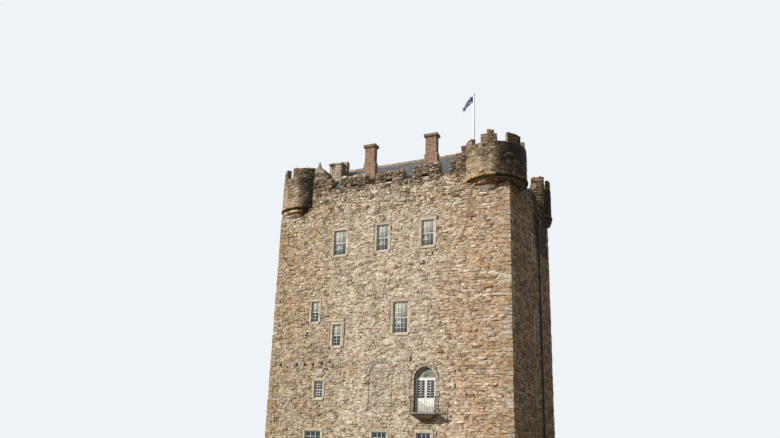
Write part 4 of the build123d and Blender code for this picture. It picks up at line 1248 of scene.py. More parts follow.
def turretStones(name, seed):
    t, rng = turrets[name], Random(seed)
    centre, radius, inset, sill = t["centre"], t["radius"], t["inset"], t["sill"]
    toCorner = degrees(atan2(*(1 if v > 0 else -1 for v in reversed(centre))))
    # painted shadow: darkens the whole back right drum, its stones, mortar and corbel
    paintedShadow = 1.1 if name == "back_right" else 0.0
    title = name.split("_")[0] + name.split("_")[1].capitalize()

    def clearSpan(reach):
        # the drum stands clear of the walls only on its outer side
        turned = degrees(acos(min(1.0, inset / reach)))
        return radians(toCorner - 45 - turned), radians(toCorner + 45 + turned)

    def shadow(bearing, v, share):
        # painted shade and weathering: 0 where the drum is clean and lit, 1 where it is black; away from the sun it is
        # darkened as painted shade, high up with weathering
        turned = (bearing + sunBearing + 180) % 360 - 180
        side = np.where(turned > 0, fade(abs(turned), 46, 76), 0.55 * fade(abs(turned), 60, 100))
        return side * 0.95 + share * fade(v, t["corbelTop"] + 0.5, sill + 0.5) + paintedShadow

    def tone(u, v):
        black = min(1.0, shadow(degrees(u / radius), v, 0.58)) + rng.uniform(-0.26, 0.26)
        black += 0.16 * sin(u * 2.1 + v * 3.3) * sin(v * 2.2 - u)
        # painted shadow: the back right drum is dark all over, lighter above sill + 0.7 where the sun reaches its top
        if paintedShadow:
            return "blackBrown", 0.26 if v < sill + 0.7 else 0.6
        # painted shade and weathering pick the mix, from clean to blackest
        steps = ((0.26, "clean", 0.80), (0.62, "stained", 0.70), (0.85, "dark", 0.8), (9, "blackest", 0.50))
        return next((mix, level) for limit, mix, level in steps if black < limit)

    def mortar(u, v):
        patch = unevenness(seed + 3, u, v, 0.9, 4, 1.3) - 0.5
        # painted shade and weathering darken the drum's mortar, away from the sun and high up
        black = np.clip(shadow(np.degrees(u / radius), v, 0.45) + patch * 1.3, 0, 1)
        return [part - less * black for part, less in ((0.42, 0.38), (0.325, 0.292), (0.22, 0.197))]

    def merlon(a, b, low, high):
        outer, inner = radius - t["setback"], radius - t["wall"]
        yield stamp(layCourses(rng, a * outer, b * outer, low, high, **rough), rubbleShapes,
                    drumFace(centre, outer), rng, jitter=0.012, tilt=0.02)
        stones = layCourses(rng, -b * inner, -a * inner, low, high, **plain, course=(0.16, 0.27),
                            length=(0.22, 0.45), depth=(0.0, 0.03))
        yield stamp(stones, rubbleShapes, drumFace(centre, inner, -1), rng, jitter=0.012, tilt=0.02)
        tops = []
        for part in stretches(rng, a * outer - 0.02, b * outer + 0.02, (0.22, 0.5), 0.15):
            rise = rng.uniform(0.03, 0.12)
            tops.append([*part, -0.03, outer - inner + 0.02, rise, 0.03, *pickColour(rng, "weathered", 0.9)])
        yield stamp(tops, rubbleShapes, ringTop(centre, outer, high), rng, jitter=0.015, tilt=0.04)
        for angle, turn in ((a, -1), (b, 1)):
            x, y = turn * cos(angle), turn * sin(angle)
            span = (-outer, -inner) if turn > 0 else (inner, outer)
            stones = layCourses(rng, *span, low, high, **plain, course=(0.15, 0.25),
                                length=(0.2, 0.4), depth=(0.0, 0.04))
            end = flatFace((*centre, 0), (-x, -y, 0), (-y, x, 0))
            yield stamp(stones, rubbleShapes, end, rng, jitter=0.012, tilt=0.03)

    rough = {"course": (0.16, 0.27), "length": (0.24, 0.55), "depth": (0.0, 0.035), "tone": tone}
    plain = {"mix": "weathered", "level": 0.85}
    start, end = (angle * radius for angle in clearSpan(radius))
    around = 2 * pi * radius
    left, right = (radians(angle) * radius for angle in t["doorway"])
    doors = [(left + turned, right + turned, t["floor"], 60) for turned in (0, around)]
    stones = layCourses(rng, start, end, t["corbelTop"], sill, **rough)
    stones += layCourses(rng, end, start + around, keep["wallHead"] + 0.15, sill, holes=doors, **rough)
    drum = drumFace(centre, radius)
    parts = [stamp(stones, rubbleShapes, drum, rng, jitter=0.015, tilt=0.02)]
    parts.append(mortarSkin(drum, (start, end, t["corbelTop"], sill), seed + 60, mortar, swell=0.03, size=0.4))
    for first, last, top in t["merlons"]:
        extras = [block for block in t["blocks"] if first <= block[0] < last]
        for a, b, low, high in [(first, last, sill, top)] + extras:
            parts += merlon(radians(a), radians(b), low, high)
    buildPiece(title + "TurretStones", parts, "weathered", "rubble_stone", angle=48)

    rolls, level, reach, final = [], t["corbelTop"], radius, len(t["courses"]) - 1
    for number, (height, ledge) in enumerate(t["courses"]):
        last = number == final
        curve = (ledge ** 2 + height ** 2) / (2 * ledge)
        bulge = 0.02 if last and not paintedShadow else 0.10

        def rollFace(u, v, w):
            down = np.clip((level - v) / height, 0, 1)
            swell = bulge * (np.sin(pi * down) ** 0.6 * 1.35 - 0.35)
            profile = reach - curve + np.sqrt(np.maximum(curve ** 2 - (level - v) ** 2, 0)) + swell + w
            return onRing(centre, profile, u / reach, v)
        a, b = clearSpan(reach)
        segments = []
        for first, second in evenly(a, b, max(6, int((b - a) * reach / 0.38))):
            # painted shade and weathering: segments away from the sun, and high up, blend towards the dark grime
            # colour
            dirt = min(1.0, shadow(degrees((first + second) / 2), level, 0.58)) + rng.uniform(-0.12, 0.12)
            black = fade(dirt, 0.25, 0.8)
            # painted light: the second roll takes brighter lichen colours than the first, as if in sun
            clean = pickColour(rng, "brownWarm", 0.62) if last else pickColour(rng, "lichen", 1.1 + 0.5 * number)
            sooted = pickColour(rng, "grime", 0.55)
            colour = [p * (1 - black) + q * black for p, q in zip(clean, sooted)]
            segments.append([first * reach, second * reach, level - height, level - 0.005, 0.02, 0.03, *colour])
        points, triangles, tints = stamp(segments, rollShapes, rollFace, rng, gap=0.02, jitter=0.02, tilt=0.03)
        # painted shade: the lower part of each roll, where it faces down, is darkened
        rollShade = 0.25 if last else (0.80, 0.62)[number]
        shades = 1 - rollShade * fade((level - points[:, 2]) / height, 0.40, 0.85)
        rolls.append((points, triangles, tints * shades[:, None]))
        level -= height
        reach -= ledge
    buildPiece(title + "Corbel", rolls, "rubble", "dressed_stone", angle=40)


parapetTops()
for number, name in enumerate(turrets):
    turretStones(name, 500 + number)
print("parapets and turrets faced")


# Windows: glazing bars, pale upper panes painted as the sky reflected in them

# the pale upperTint is painted reflection of the sky, with the blinds behind the glass; the dark lowerTint is painted
# shade of the rooms behind
sash = {
    "bar": 0.030, "front": -0.062, "back": 0.115, "pane": (-0.092, 0.106), "frame": 0.07, "rail": 0.025,
    "upperTint": (0.45, 0.465, 0.39), "lowerTint": (0.13, 0.14, 0.15),
}
white = (0.8, 0.8, 0.78)


def glazing(a, b, low, high, columns, rows, front, back):
    half, lap = sash["bar"] / 2, 0.01
    for u, _ in evenly(a, b, columns)[1:]:
        yield [u - half, u + half, low - lap, high + lap, front, back, *white]
    for v, _ in evenly(low, high, rows)[1:]:
        yield [a - lap, b + lap, v - half, v + half, front - 0.003, back, *white]


def sashWindows():
    rng, s = Random(606), sash
    bars, panes, dimPanes = [], [], []
    for side, windows in openings.items():
        sideBars, upperPanes, lowerPanes = [], [], []
        for (left, right, low, high), (columns, rows, obscured) in zip(windows, sashGrids[side]):
            a, b, foot, top = left + s["frame"], right - s["frame"], low + s["frame"], high - s["frame"]
            middle = (low + high) / 2
            for span in ((foot, middle - s["rail"]), (middle + s["rail"], top)):
                sideBars += glazing(a, b, *span, columns, rows, s["front"], s["back"])
            if obscured:
                light = rng.uniform(0.9, 1.08)
                upper, lower = ([c * light for c in s[key]] for key in ("upperTint", "lowerTint"))
                upperPanes.append([a - 0.01, b + 0.01, middle, top + 0.01, *s["pane"], *upper])
                # painted shade: the lower panes are dark opaque sheets for the dim rooms behind the glass
                if columns > 2:
                    lowerPanes.append([a - 0.01, b + 0.01, foot - 0.01, middle, *s["pane"], *lower])
        for made, kind, edge in ((bars, sideBars, 0.02), (panes, upperPanes, 0.05), (dimPanes, lowerPanes, 0.05)):
            made.append(stamp(kind, sharpShapes, faces[side], rng, edge=edge, gap=0))
    buildPiece("glazingBars", bars, "white", "white_paint")
    buildPiece("obscuredPanes", panes, "obscured", "window_glass")
    buildPiece("dimPanes", dimPanes, "dimPane", "window_glass")


# Balcony doorway: jambs, hood, bars and boards of the doors

doors = {
    "plane": -0.20, "back": 0.238, "glassLow": 5.025, "glassHigh": 6.205, "leaf": 0.696, "leafGap": 0.006,
    "stile": 0.075, "columns": 2, "rows": 7, "boards": 5, "boardsLow": 4.08,
}
hood = {"more": 0.2, "width": 0.06, "start": -8, "end": 188, "size": 0.5, "proud": 0.075, "bed": 0.02}
fanArch = {"middle": 3.255, "spring": 6.385, "radius": 0.72}
# painted reflection: the fanlight is a pale opaque pane for the sky seen in its glass
fanlight = {"pieces": 14, "inner": -0.66, "depth": -0.23, "bed": 0.237, "tint": (0.40, 0.41, 0.31)}
# painted shade: dark brown stones line the sides of the doorway and its arch, behind its grey jambs: depth, bed and
# colour
revealShade = (-0.012, 0.19, 0.20, 0.13, 0.07)


def revealShadeStones(rng):
    d = doorway
    return [[a, b, foot, top, *revealShade]
            for a, b in ((d["left"] + 0.004, d["left"] + 0.022), (d["right"] - 0.022, d["right"] - 0.004))
            for foot, top in stretches(rng, d["sill"] + 0.01, d["spring"], (0.3, 0.5), slack=0.02)]


def doorwayStones(rng, face):
    d = doorway
    upright = besideEdges(rng, d["left"], d["right"], d["jamb"], (0.85, 1.25), 0.006,
                          lambda: stretches(rng, d["sill"] - 0.08, d["spring"], (0.28, 0.55), 0.2, 0.02))
    jambs = [[*place, 0.045, 0.19, *pickColour(rng, "blocked")] for place in upright]
    ring = arcStones(rng, d["radius"], d["jamb"], 0, 180, 0.26, 0.05, 0.19, "blocked", 0.95)
    ring = [[*stone[:2], -0.006, *stone[3:]] for stone in ring]
    more, *hoodForm = hood.values()
    over = arcStones(rng, d["radius"] + more, *hoodForm, "grey", 0.8)
    arch = archFace(face, d)
    # painted shade: the arch is lined with the same dark brown stones
    lining = [[*stone[:2], -0.022, -0.004, *revealShade] for stone in ring]
    parts = [
        stamp(jambs, dressedShapes, face, rng, jitter=0.004),
        stamp(ring, dressedShapes, arch, rng, gap=0.006),
        stamp(over, dressedShapes, archFace(face, d, more), rng),
        stamp(revealShadeStones(rng), dressedShapes, face, rng, gap=0.006),
        stamp(lining, dressedShapes, arch, rng, gap=0.006),
    ]
    buildPiece("doorwayStones", parts, "rubble", "dressed_stone", angle=30)


def balconyDoorway():
    rng, face, s = Random(707), faces["front"], doors
    doorwayStones(rng, face)
    bars, boards = [], []
    for side in (-1, 1):
        middle = doorway["middle"] + side * (s["leafGap"] + s["leaf"]) / 2
        a, b = middle - s["leaf"] / 2 + s["stile"], middle + s["leaf"] / 2 - s["stile"]
        front = s["plane"] - 0.005
        bars += glazing(a, b, s["glassLow"], s["glassHigh"], s["columns"], s["rows"], front, s["back"])
        panel = (s["boardsLow"], s["glassLow"] - s["stile"] + 0.01, s["plane"] + 0.012, 0.205)
        boards += [[*board, *panel, *white] for board in evenly(a - 0.03, b + 0.03, s["boards"])]
    parts = [stamp(bars, sharpShapes, face, rng, edge=0.02, gap=0)]
    parts.append(stamp(boards, sharpShapes, face, rng, edge=0.1, gap=0.008))
    buildPiece("doorBars", parts, "white", "white_paint")
    f, spring = fanlight, fanArch["spring"]
    fan = [[*piece, f["inner"], 0.0, f["depth"], f["bed"], *f["tint"]]
           for piece in evenly(0, pi * fanArch["radius"], f["pieces"])]
    pane = stamp(fan, sharpShapes, archFace(face, fanArch), rng, edge=0.02, gap=0)
    pane[0][pane[0][:, 2] < spring + 0.006, 2] = spring
    buildPiece("fanlightPane", [pane], "obscured", "window_glass")


# Balcony railing: rails and balusters that flare out below the top rail

railing = {
    "left": 2.39, "right": 4.35, "reach": 0.73, "foot": 3.985, "top": 5.07,
    "insetLeft": 0.13, "insetRight": 0.10, "insetFront": 0.06, "bend": 0.62, "flare": 1.6, "points": 9,
    "frontBars": 9, "sideBars": 4, "bar": 0.006, "sideBar": 0.010, "post": 0.024, "rail": 0.012,
    "scroll": 0.018, "footRadius": 0.055,
}


def tubes(name, paths, radius):
    curve = bpy.data.curves.new(name, "CURVE")
    curve.dimensions = "3D"
    curve.bevel_depth = radius
    curve.bevel_resolution = 2
    curve.use_fill_caps = True
    for path in paths:
        line = curve.splines.new("POLY")
        line.points.add(len(path) - 1)
        for point, place in zip(line.points, path):
            point.co = (*place, 1)
    piece = bpy.data.objects.new(name, curve)
    bpy.context.scene.collection.objects.link(piece)
    selectOnly(piece)
    bpy.ops.object.convert(target="MESH")
    mode("EDIT")
    pickAll("SELECT")
    bpy.ops.mesh.normals_make_consistent(inside=False)
    mode("OBJECT")
    return bpy.context.object


def joinPieces(pieces, name, finish, slot, *replaced):
    selectOnly(*pieces)
    bpy.ops.object.join()
    piece = bpy.context.object
    piece.name = name
    smooth(piece, 40)
    addPiece(piece, finish, slot, *replaced)


def balconyRailing():
    s = railing

    def corner(t, u, reach):
        # t from 0 at the foot to 1 at the top, u from 0 at the left to 1 at the right,
        # reach from 0 at the wall to 1 at the front
        drawn = 1 - max(0.0, (t - s["bend"]) / (1 - s["bend"])) ** s["flare"]
        left = s["left"] + s["insetLeft"] * drawn
        right = s["right"] - s["insetRight"] * drawn
        front = s["reach"] - s["insetFront"] * drawn
        y, z = -keep["halfDepth"] - front * reach, s["foot"] + (s["top"] - s["foot"]) * t
        return left + (right - left) * u, y, z

    def upright(u, reach):
        return [corner(i / s["points"], u, reach) for i in range(s["points"] + 1)]
    front = [upright(i / s["frontBars"], 1) for i in range(s["frontBars"] + 1)]
    sideBars = [upright(side, i / s["sideBars"]) for side in (0, 1) for i in range(s["sideBars"])]
    rails = [[corner(t, *place) for place in ((0, -0.05), (0, 1), (1, 1), (1, -0.05))] for t in (0.03, 1.0)]
    scrolls, feet = [], []
    for side, turn in ((0, -1), (1, 1)):
        x, y, z = corner(1.0, side, 1)
        angles = [radians(90 - 30 * k) for k in range(9)]
        scrolls.append([(x + turn * 0.05 * (cos(a) - 1), y, z - 0.06 + 0.06 * sin(a)) for a in angles])
    for side, height in ((1, 0.10), (0, 0.05)):
        x, y, z = corner(0.0, side, 1)
        feet.append([(x, y, z + height * k) for k in range(3)])
    pieces = [
        tubes("balusters", front[1:-1], s["bar"]), tubes("sideBalusters", sideBars, s["sideBar"]),
        tubes("posts", [front[0], front[-1]], s["post"]), tubes("rails", rails, s["rail"]),
        tubes("scrolls", scrolls, s["scroll"]), tubes("feet", feet, s["footRadius"]),
    ]
    joinPieces(pieces, "balconyRails", "iron", "iron", "balcony_railing")


def balconyRim(lap=0.03, tint=(0.56, 0.54, 0.50)):
    rng, (low, high) = Random(717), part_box("balcony_slab")
    foot, top, deep = low.z + 0.035, high.z + 0.012, high.y - low.y
    rim = [[*part, foot, top, 0.025, 0.30, *tint] for part in evenly(low.x - lap, high.x + lap, 3)]
    ends = [[0, deep, foot, top, 0.025, 0.05, *tint]]
    parts = [
        stamp(rim, dressedShapes, sideFace("front", 0, low.y, 0), rng, gap=0.006),
        stamp(ends, dressedShapes, sideFace("right", high.x, low.y, 0), rng),
        stamp(ends, dressedShapes, sideFace("left", low.x, high.y, 0), rng),
    ]
    buildPiece("balconyRim", parts, "rubble", "dressed_stone", angle=30)


# Chimneys

chimneys = {
    "foot": 20.35, "brick": [(-2.52, -1.66, 24.93), (2.68, 3.58, 25.0)], "brickFront": -5.3, "brickDepth": 0.45,
    "ledge": 0.09, "ledgeTop": 23.4, "coping": 0.2, "copingLip": 0.1, "brickCourse": 0.086, "brickLength": 0.23,
    "stone": (-7.79, -6.61, -1.77, -0.93, 25.39), "stoneCoping": 0.14, "stoneLip": 0.07,
}
brickColours = [
    (0.46, 0.28, 0.185), (0.41, 0.235, 0.15), (0.50, 0.335, 0.235),
    (0.36, 0.205, 0.135), (0.48, 0.32, 0.235), (0.30, 0.18, 0.13),
]


def boxFaces(x0, x1, y0, y1):
    starts = ((x0, y0), (x1, y0), (x1, y1), (x0, y1))
    widths = (x1 - x0, y1 - y0) * 2
    return [(sideFace(side, *start, 0), width) for side, start, width in zip(sides, starts, widths)]


def brickWall(rng, width, low, high):
    bricks, rows = [], round((high - low) / chimneys["brickCourse"])
    for row, (foot, top) in enumerate(evenly(low, high, rows)):
        length = chimneys["brickLength"] * (0.5 if row % 2 else 1.0)
        for a, b in evenly(0, width, max(1, round(width / length))):
            colour = [c * rng.uniform(0.85, 1.15) for c in rng.choice(brickColours)]
            bricks.append([a, b, foot, top, 0.008 * rng.uniform(0.3, 1.4), 0.02, *colour])
    return bricks


def evenMortar(*tint):
    return lambda u, v: [part + 0 * u for part in tint]


def brickChimneys(rng):
    c, parts, copings = chimneys, [], []
    y0, y1, lip = c["brickFront"], c["brickFront"] + c["brickDepth"], c["copingLip"]
    for left, right, top in c["brick"]:
        lifts = ((c["ledge"], c["foot"], c["ledgeTop"]), (0, c["ledgeTop"], top - c["coping"]))
        for ledge, low, high in lifts:
            for face, width in boxFaces(left - ledge, right + ledge, y0, y1):
                bricks = brickWall(rng, width, low, high)
                parts.append(stamp(bricks, sharpShapes, face, rng, edge=0.06, gap=0.011))
        for face, width in boxFaces(left - lip, right + lip, y0 - lip, y1 + lip):
            stones = [[*part, top - c["coping"] * 0.98, top, 0.02, 0.02, *pickColour(rng, "coping", 0.75)]
                      for part in evenly(0, width, max(1, round(width / 0.5)))]
            copings.append(stamp(stones, sharpShapes, face, rng, edge=0.1, gap=0.006))
        stones = [[*part, -0.02, c["brickDepth"] + 2 * lip + 0.02, 0.03, 0.02, *pickColour(rng, "coping", 0.8)]
                  for part in evenly(0, right - left + 2 * lip, 2)]
        copings.append(stamp(stones, dressedShapes, topFace(left - lip, y0 - lip, top), rng, jitter=0.004))
    buildPiece("chimneyBricks", parts, "brick", "brick")
    return copings


def chimneyStones():
    rng, c = Random(808), chimneys
    copings, parts = brickChimneys(rng), []
    x0, x1, y0, y1, top = c["stone"]
    for number, (face, width) in enumerate(boxFaces(x0, x1, y0, y1)):
        shaded = number == 1
        stones = layCourses(rng, 0, width, c["foot"], top, course=(0.2, 0.32), length=(0.3, 0.6),
                            depth=(0.0, 0.03), mix="chimney", level=0.62 if shaded else 0.80)
        parts.append(stamp(stones, rubbleShapes, face, rng, jitter=0.012, tilt=0.012))
        mortar = evenMortar(0.26, 0.21, 0.15) if shaded else evenMortar(0.44, 0.38, 0.295)
        span = (0, width, c["foot"], top)
        parts.append(mortarSkin(face, span, 90 + number, mortar, cell=0.1, base=0.008, swell=0.02, size=0.3))
    buildPiece("stoneChimneyFaces", parts, "rubble", "rubble_stone", angle=48)
    lip, high = c["stoneLip"], top + c["stoneCoping"]
    for face, width in boxFaces(x0 - lip, x1 + lip, y0 - lip, y1 + lip):
        stones = [[*part, top + 0.004, high, 0.015, 0.02, *pickColour(rng, "brownWarm", 0.9)]
                  for part in evenly(0, width, 2)]
        copings.append(stamp(stones, dressedShapes, face, rng, jitter=0.006))
    caps = [[*part, 0, 0.98, rise, 0.02, *pickColour(rng, "grey")]
            for part, rise in zip(evenly(0, 1.32, 2), (0.04, 0.03))]
    copings.append(stamp(caps, dressedShapes, topFace(x0 - lip, y0 - lip, high), rng, jitter=0.01))
    buildPiece("chimneyCopings", copings, "weathered", "dressed_stone", angle=30)


# Roof: slates, ridge stones and skews

roof = {
    "eavesY": 4.6, "eavesZ": 20.9, "ridgeZ": 25.4, "halfLength": 6.9, "gable": 7.5,
    "exposure": 0.2, "width": 0.29, "ridge": 0.5, "overhang": 0.03, "skewRise": 0.26,
    "skewStarts": {(-1, -1): 2.35, (1, -1): 2.35, (-1, 1): 2.95, (1, 1): 0.0},
    "stub": ((-7.52, -6.88, 25.6, 25.86), (-7.50, -6.90, 25.86, 26.10), (-7.48, -6.92, 26.10, 26.36)),
}
slateColours = [
    (0.135, 0.145, 0.165), (0.16, 0.165, 0.175), (0.12, 0.13, 0.15), (0.20, 0.19, 0.175), (0.15, 0.16, 0.185),
]


def roofOpen(x, y):
    # clear of the turrets' drums and of the stone chimney
    x0, x1, y0, y1, _ = chimneys["stone"]
    drums = [(t["centre"], t["radius"] + 0.12) for t in turrets.values()]
    inWell = any(sqrt((x - cx) ** 2 + (y - cy) ** 2) < reach for (cx, cy), reach in drums)
    return not inWell and not (x0 - 0.1 < x < x1 + 0.12 and y0 - 0.12 < y < y1 + 0.1)


def laySlates(rng, side, length, slope):
    r, slates, row, v = roof, [], 0, 0.0
    half, width = r["halfLength"], r["width"]
    while v < length - 0.12:
        u = -half - (row % 2) * width / 2
        while u < half:
            a, b = max(u, -half), min(u + width, half)
            u += width
            if b - a >= 0.04 and roofOpen((a + b) / 2 * -side, side * (r["eavesY"] - v * slope)):
                colour = [k * rng.uniform(0.85, 1.2) for k in rng.choice(slateColours)]
                slates.append([a, b, v, min(v + r["exposure"] * 1.35, length), 0.022, 0.012, *colour])
        v += r["exposure"]
        row += 1
    return slates


def laySkews(rng, side, end, length, slope):
    r, stones = roof, []
    _, _, y0, y1, _ = chimneys["stone"]
    a, b = sorted(-side * end * r[key] for key in ("halfLength", "gable"))
    over = r["overhang"]
    for low, high in stretches(rng, r["skewStarts"][(side, end)], length + over, (0.45, 0.75), slack=over):
        y = side * (r["eavesY"] - (low + (high - low) / 2) * slope)
        if end > 0 or not y0 - 0.25 < y < y1 + 0.2:
            stones.append([a - 0.03, b + 0.03, low, high, 0.05, 0.03, *pickColour(rng, "warmGrey", 0.85)])
    return stones


def roofCover():
    rng, r = Random(909), roof
    rise, run = r["ridgeZ"] - r["eavesZ"], r["eavesY"]
    length = sqrt(rise ** 2 + run ** 2)
    slateShapes, parts, ridge, skews = [modelSlate()], [], [], []
    for side in (-1, 1):
        along, out = (-side, 0, 0), (0, side * rise / length, run / length)
        plane = flatFace((0, side * r["eavesY"], r["eavesZ"]), along, out)
        slates = laySlates(rng, side, length, run / length)
        parts.append(stamp(slates, slateShapes, plane, rng, edge=0.05, gap=0.006, tilt=0.003))
        half, size, stones = r["halfLength"], r["ridge"], []
        for a in np.arange(-half, half - 0.01, size):
            ridgeStone = (a, min(a + size, half), length - 0.20, length + 0.015, 0.125, 0.01)
            stones.append([*ridgeStone, *pickColour(rng, "halfGrey", 0.9)])
        ridge.append(stamp(stones, dressedShapes, plane, rng, jitter=0.005))
        top = flatFace((0, side * r["eavesY"], r["eavesZ"] + r["skewRise"]), along, out)
        for end in (-1, 1):
            stones = laySkews(rng, side, end, length, run / length)
            skews.append(stamp(stones, dressedShapes, top, rng, jitter=0.012, tilt=0.01))
    buildPiece("roofSlates", parts, "slate", "slate")
    buildPiece("ridgeStones", ridge, "weathered", "dressed_stone", angle=30)
    for x0, x1, z0, z1 in r["stub"]:
        stone = [x0 + r["gable"], x1 + r["gable"], z0, z1, 0.19, 0.19, *pickColour(rng, "stub", 0.8)]
        skews.append(stamp([stone], rubbleShapes, sideFace("front", -r["gable"], 0, 0), rng, jitter=0.02))
    buildPiece("skewStones", skews, "weathered", "rubble_stone", angle=40)


# Pointed merlon: a sharp cap on stepped stones that reach out to the right

pointed = {
    "x": -6.324, "left": -6.60, "middleY": -5.80, "half": 0.29,
    "courses": [(22.27, 22.52, 1.02), (22.52, 22.76, 0.78), (22.76, 22.98, 0.60), (22.98, 23.18, 0.44)],
    "capFoot": 23.16, "capTop": 23.87, "wide": 0.37, "sharp": 0.035, "capY": -5.84, "flat": 0.72,
}


def pointedMerlon():
    rng, p, stones = Random(111), pointed, []
    for low, high, reach in p["courses"]:
        for a, b in stretches(rng, p["left"], p["x"] + reach, (0.28, 0.5), 0.18, 0.01):
            half = p["half"] + rng.uniform(-0.02, 0.03)
            top = high + 0.03 * rng.random()
            stones.append([a, b, low - 0.02, top, half, p["half"], *pickColour(rng, "merlon", 0.8)])
    face = sideFace("front", 0, p["middleY"], 0)
    part = stamp(stones, rubbleShapes, face, rng, edge=0.18, gap=0.01, jitter=0.02, tilt=0.02)
    buildPiece("pointedMerlonStones", [part], "weathered", "rubble_stone", "pointed_merlon", angle=40)
    low, tall = p["capFoot"], p["capTop"] - p["capFoot"]
    cone = {"vertices": 12, "radius1": p["wide"], "radius2": p["sharp"], "depth": tall}
    cap = startPiece(bpy.ops.mesh.primitive_cone_add, "pointedCap", location=(0, 0, low + tall / 2), **cone)
    mode("EDIT")
    pickAll("SELECT")
    bpy.ops.mesh.subdivide(number_cuts=4)
    mode("OBJECT")
    for vertex in cap.data.vertices:
        x, y, z = vertex.co
        lumpy = (1 - 0.28 * sin(pi * (z - low) / tall)) * (1 + 0.05 * sin(7 * z + 3 * atan2(y, x)))
        vertex.co = (p["x"] + x * lumpy, p["capY"] + y * lumpy * p["flat"], z)
    smooth(cap, 50)
    addPiece(cap, "capStone", "rubble_stone")


# Flag: a furled cloth hanging from the top of the pole

flag = {
    "fly": 1.8, "hoist": 0.9, "columns": 60, "rows": 30, "heading": 205, "thickness": 0.003,
    "pole": (6.450, -4.902), "poleRadius": 0.06, "poleEnd": 0.095,
    "top": 0.10, "gather": 0.60, "reach": 0.84, "fall": 1.12, "folds": 4.0, "depth": 0.075,
}


def furledFlag():
    s = flag
    ahead = Vector((cos(radians(s["heading"])), sin(radians(s["heading"])), 0))
    aside = Vector((-ahead.y, ahead.x, 0))
    hung = Vector((*s["pole"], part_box("flagpole")[1].z - s["poleEnd"]))
    grid = {"x_subdivisions": s["columns"], "y_subdivisions": s["rows"], "size": 1, "calc_uvs": True}
    cloth = startPiece(bpy.ops.mesh.primitive_grid_add, "furledFlag", **grid)
    cloth.data.uv_layers[0].name = "cloth"
    for vertex in cloth.data.vertices:
        along, down = vertex.co.x + 0.5, 0.5 - vertex.co.y
        spread = s["gather"] * (1 - 0.45 * along ** 0.7)
        reach = s["poleRadius"] + 0.012 + (s["reach"] - s["poleRadius"]) * along ** 0.92 * (1 - 0.10 * down)
        drop = s["top"] + s["fall"] * along ** 1.12 + spread * down
        phase = 2 * pi * s["folds"] * down + 2.6 * along
        swell = s["depth"] * min(1.0, along * 5) * (1 - 0.25 * along)
        side = swell * sin(phase) + 0.03 * sin(9 * along + 2 * down) * min(1.0, along * 3)
        place = hung + ahead * (reach + 0.5 * swell * cos(phase)) + aside * side
        place.z -= drop
        vertex.co = place
    cloth.data.update()
    area = sum(face.area for face in cloth.data.polygons)
    print("flag area", round(area, 3), "of", s["fly"] * s["hoist"])
    applyModifier(cloth, "SOLIDIFY", thickness=s["thickness"])
    smooth(cloth, 60)
    addPiece(cloth, "cloth", "flag_cloth", "flag")


# Small iron and timber pieces

doorSettings = {
    "boards": 7, "straps": (0.75, 1.95), "gableX": -7.38, "gable": (-1.6, -0.9, 20.36, 22.09), "gableBoards": 5,
    "gableStraps": (20.7, 21.75), "ring": 0.05, "ringBar": 0.009, "ringOut": -0.36,
}
pipe = {"x": 9.525, "y": 2.2, "radius": 0.074, "bar": 0.014, "foot": 1.2, "apart": 2.2, "collars": 9}


def ironAndOak():
    rng, s, m, back = Random(121), doorSettings, entrance, faces["back"]
    parts, straps, oak = [], [], (0.2, 0.13, 0.08)

    def add(made, stones, face, edge, gap):
        made.append(stamp([[*stone, *oak] for stone in stones], sharpShapes, face, rng, edge=edge, gap=gap))
    left, right = m["left"], m["right"]
    for board in evenly(left, right, s["boards"]):
        add(parts, [(*board, m["low"] + 0.01, m["high"] - 0.01, -0.385, 0.41)], back, 0.15, 0.008)
    for v in s["straps"]:
        add(straps, [(left + 0.08, right - 0.15, v - 0.035, v + 0.035, -0.37, 0.39)], back, 0.1, 0)
        studs = [(left + 0.15 + 0.18 * k, left + 0.19 + 0.18 * k, v - 0.02, v + 0.02, -0.355, 0.375) for k in range(5)]
        add(straps, studs, back, 0.1, 0)
    gable = sideFace("left", s["gableX"], 0, 0)
    left, right, low, high = s["gable"]
    for board in evenly(left, right, s["gableBoards"]):
        add(parts, [(*board, low, high, 0.015, 0.02)], gable, 0.12, 0.007)
    for v in s["gableStraps"]:
        add(straps, [(left + 0.05, right - 0.15, v - 0.03, v + 0.03, 0.025, 0.01)], gable, 0.1, 0)
    buildPiece("doorBoards", parts, "oak", "door_oak")
    buildPiece("doorStraps", straps, "iron", "iron")
    turns = [radians(20 * k) for k in range(19)]
    ring = [(m["left"] + 1.0 + s["ring"] * cos(a), m["low"] + 1.05 + s["ring"] * sin(a), s["ringOut"]) for a in turns]
    path = [tuple(back(*(np.array([v]) for v in point))[0]) for point in ring]
    around = [(pipe["radius"] * cos(radians(30 * k)), pipe["radius"] * sin(radians(30 * k))) for k in range(13)]
    collars = [[(pipe["x"] + x, pipe["y"] + y, pipe["foot"] + pipe["apart"] * i) for x, y in around]
               for i in range(pipe["collars"])]
    pieces = [tubes("handleRing", [path], s["ringBar"]), tubes("pipeCollars", collars, pipe["bar"])]
    joinPieces(pieces, "ironRings", "iron", "iron")


sashWindows()
balconyDoorway()
balconyRailing()
balconyRim()
chimneyStones()
roofCover()
pointedMerlon()
furledFlag()
ironAndOak()
print("windows, balcony, chimneys, roof and flag made")


# Materials for the carried-over solids

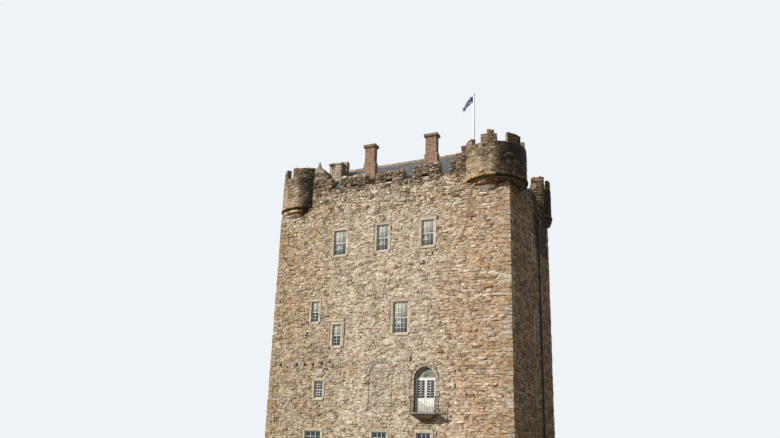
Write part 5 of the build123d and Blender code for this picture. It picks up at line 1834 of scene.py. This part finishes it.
slotFinish = {
    "rubble_stone": "core", "dressed_stone": "dressed", "floor_stone": "floorStone", "floor_timber": "floorTimber",
    "slate": "slateBed", "brick": "brickJoint", "white_paint": "white", "window_glass": "glass", "door_oak": "oak",
    "iron": "iron", "pole_paint": "pole", "flag_cloth": "cloth",
}
slotOf = {subpart["node"]: subpart["material_slot"] for subpart in record["subparts"]}
# painted shade: the slab is given a dark stone for the shade on its underside; its pale colour is kept on the rim
ownFinish = {"balcony_bracket": "mossy", "balcony_slab": "slab"}
for name, node in frame["nodes"].items():
    finish = finishes[ownFinish.get(name, slotFinish[slotOf[name]])]
    if not node.material_slots:
        node.data.materials.append(finish)
    for place in node.material_slots:
        place.material = finish
print("solids finished")


# Stage: a pale floor and backdrop, dimmer to the light that falls on the tower

def setStage():
    s = lightSettings
    disc = {"vertices": 96, "radius": s["floorRadius"], "fill_type": "NGON", "location": (0, 0, -0.01)}
    floor = startPiece(bpy.ops.mesh.primitive_circle_add, "paleFloor", **disc)
    finish = Finish("paleFloor")
    camera, glossy, through = finish.rays()
    seen = camera + glossy + through
    mottle = finish.noise(0.4, 3, 0.5)
    pale = finish.ramp(mottle, (0.3, (0.74, 0.74, 0.73)), (0.7, (0.78, 0.78, 0.77)))
    colour = finish.blend("MIX", seen, (0.16, 0.16, 0.16), pale)
    floor.data.materials.append(finish.shade(colour, 0.95, shine=0.1))
    world = bpy.data.worlds.new("sky")
    bpy.context.scene.world = world
    sky = Shader(world, "ShaderNodeOutputWorld")
    camera, glossy, through = sky.rays()
    seen = camera.reckon("MAXIMUM", camera, glossy)
    seen = seen.reckon("MAXIMUM", seen, through)
    lit = sky.node("ShaderNodeBackground", {}, {"Color": (*s["skyColour"], 1), "Strength": s["skyStrength"]})
    shown = sky.node("ShaderNodeBackground", {}, {"Color": (*s["backdrop"], 1), "Strength": 1.0})
    sky.show(sky.node("ShaderNodeMixShader", {}, {0: seen, 1: lit, 2: shown}))
    bpy.ops.object.light_add(type="SUN", location=(-30, -40, 40))
    sun = bpy.context.object
    sun.name = "studioSun"
    sun.data.energy = s["sunStrength"]
    sun.data.color = s["sunColour"]
    sun.data.angle = radians(s["sunAngle"])
    sun.rotation_euler = [radians(turn) for turn in s["sunTurn"]]


setCamera(cameraSettings)
setStage()
bpy.context.scene.view_settings.view_transform = "Standard"
print("stage set")
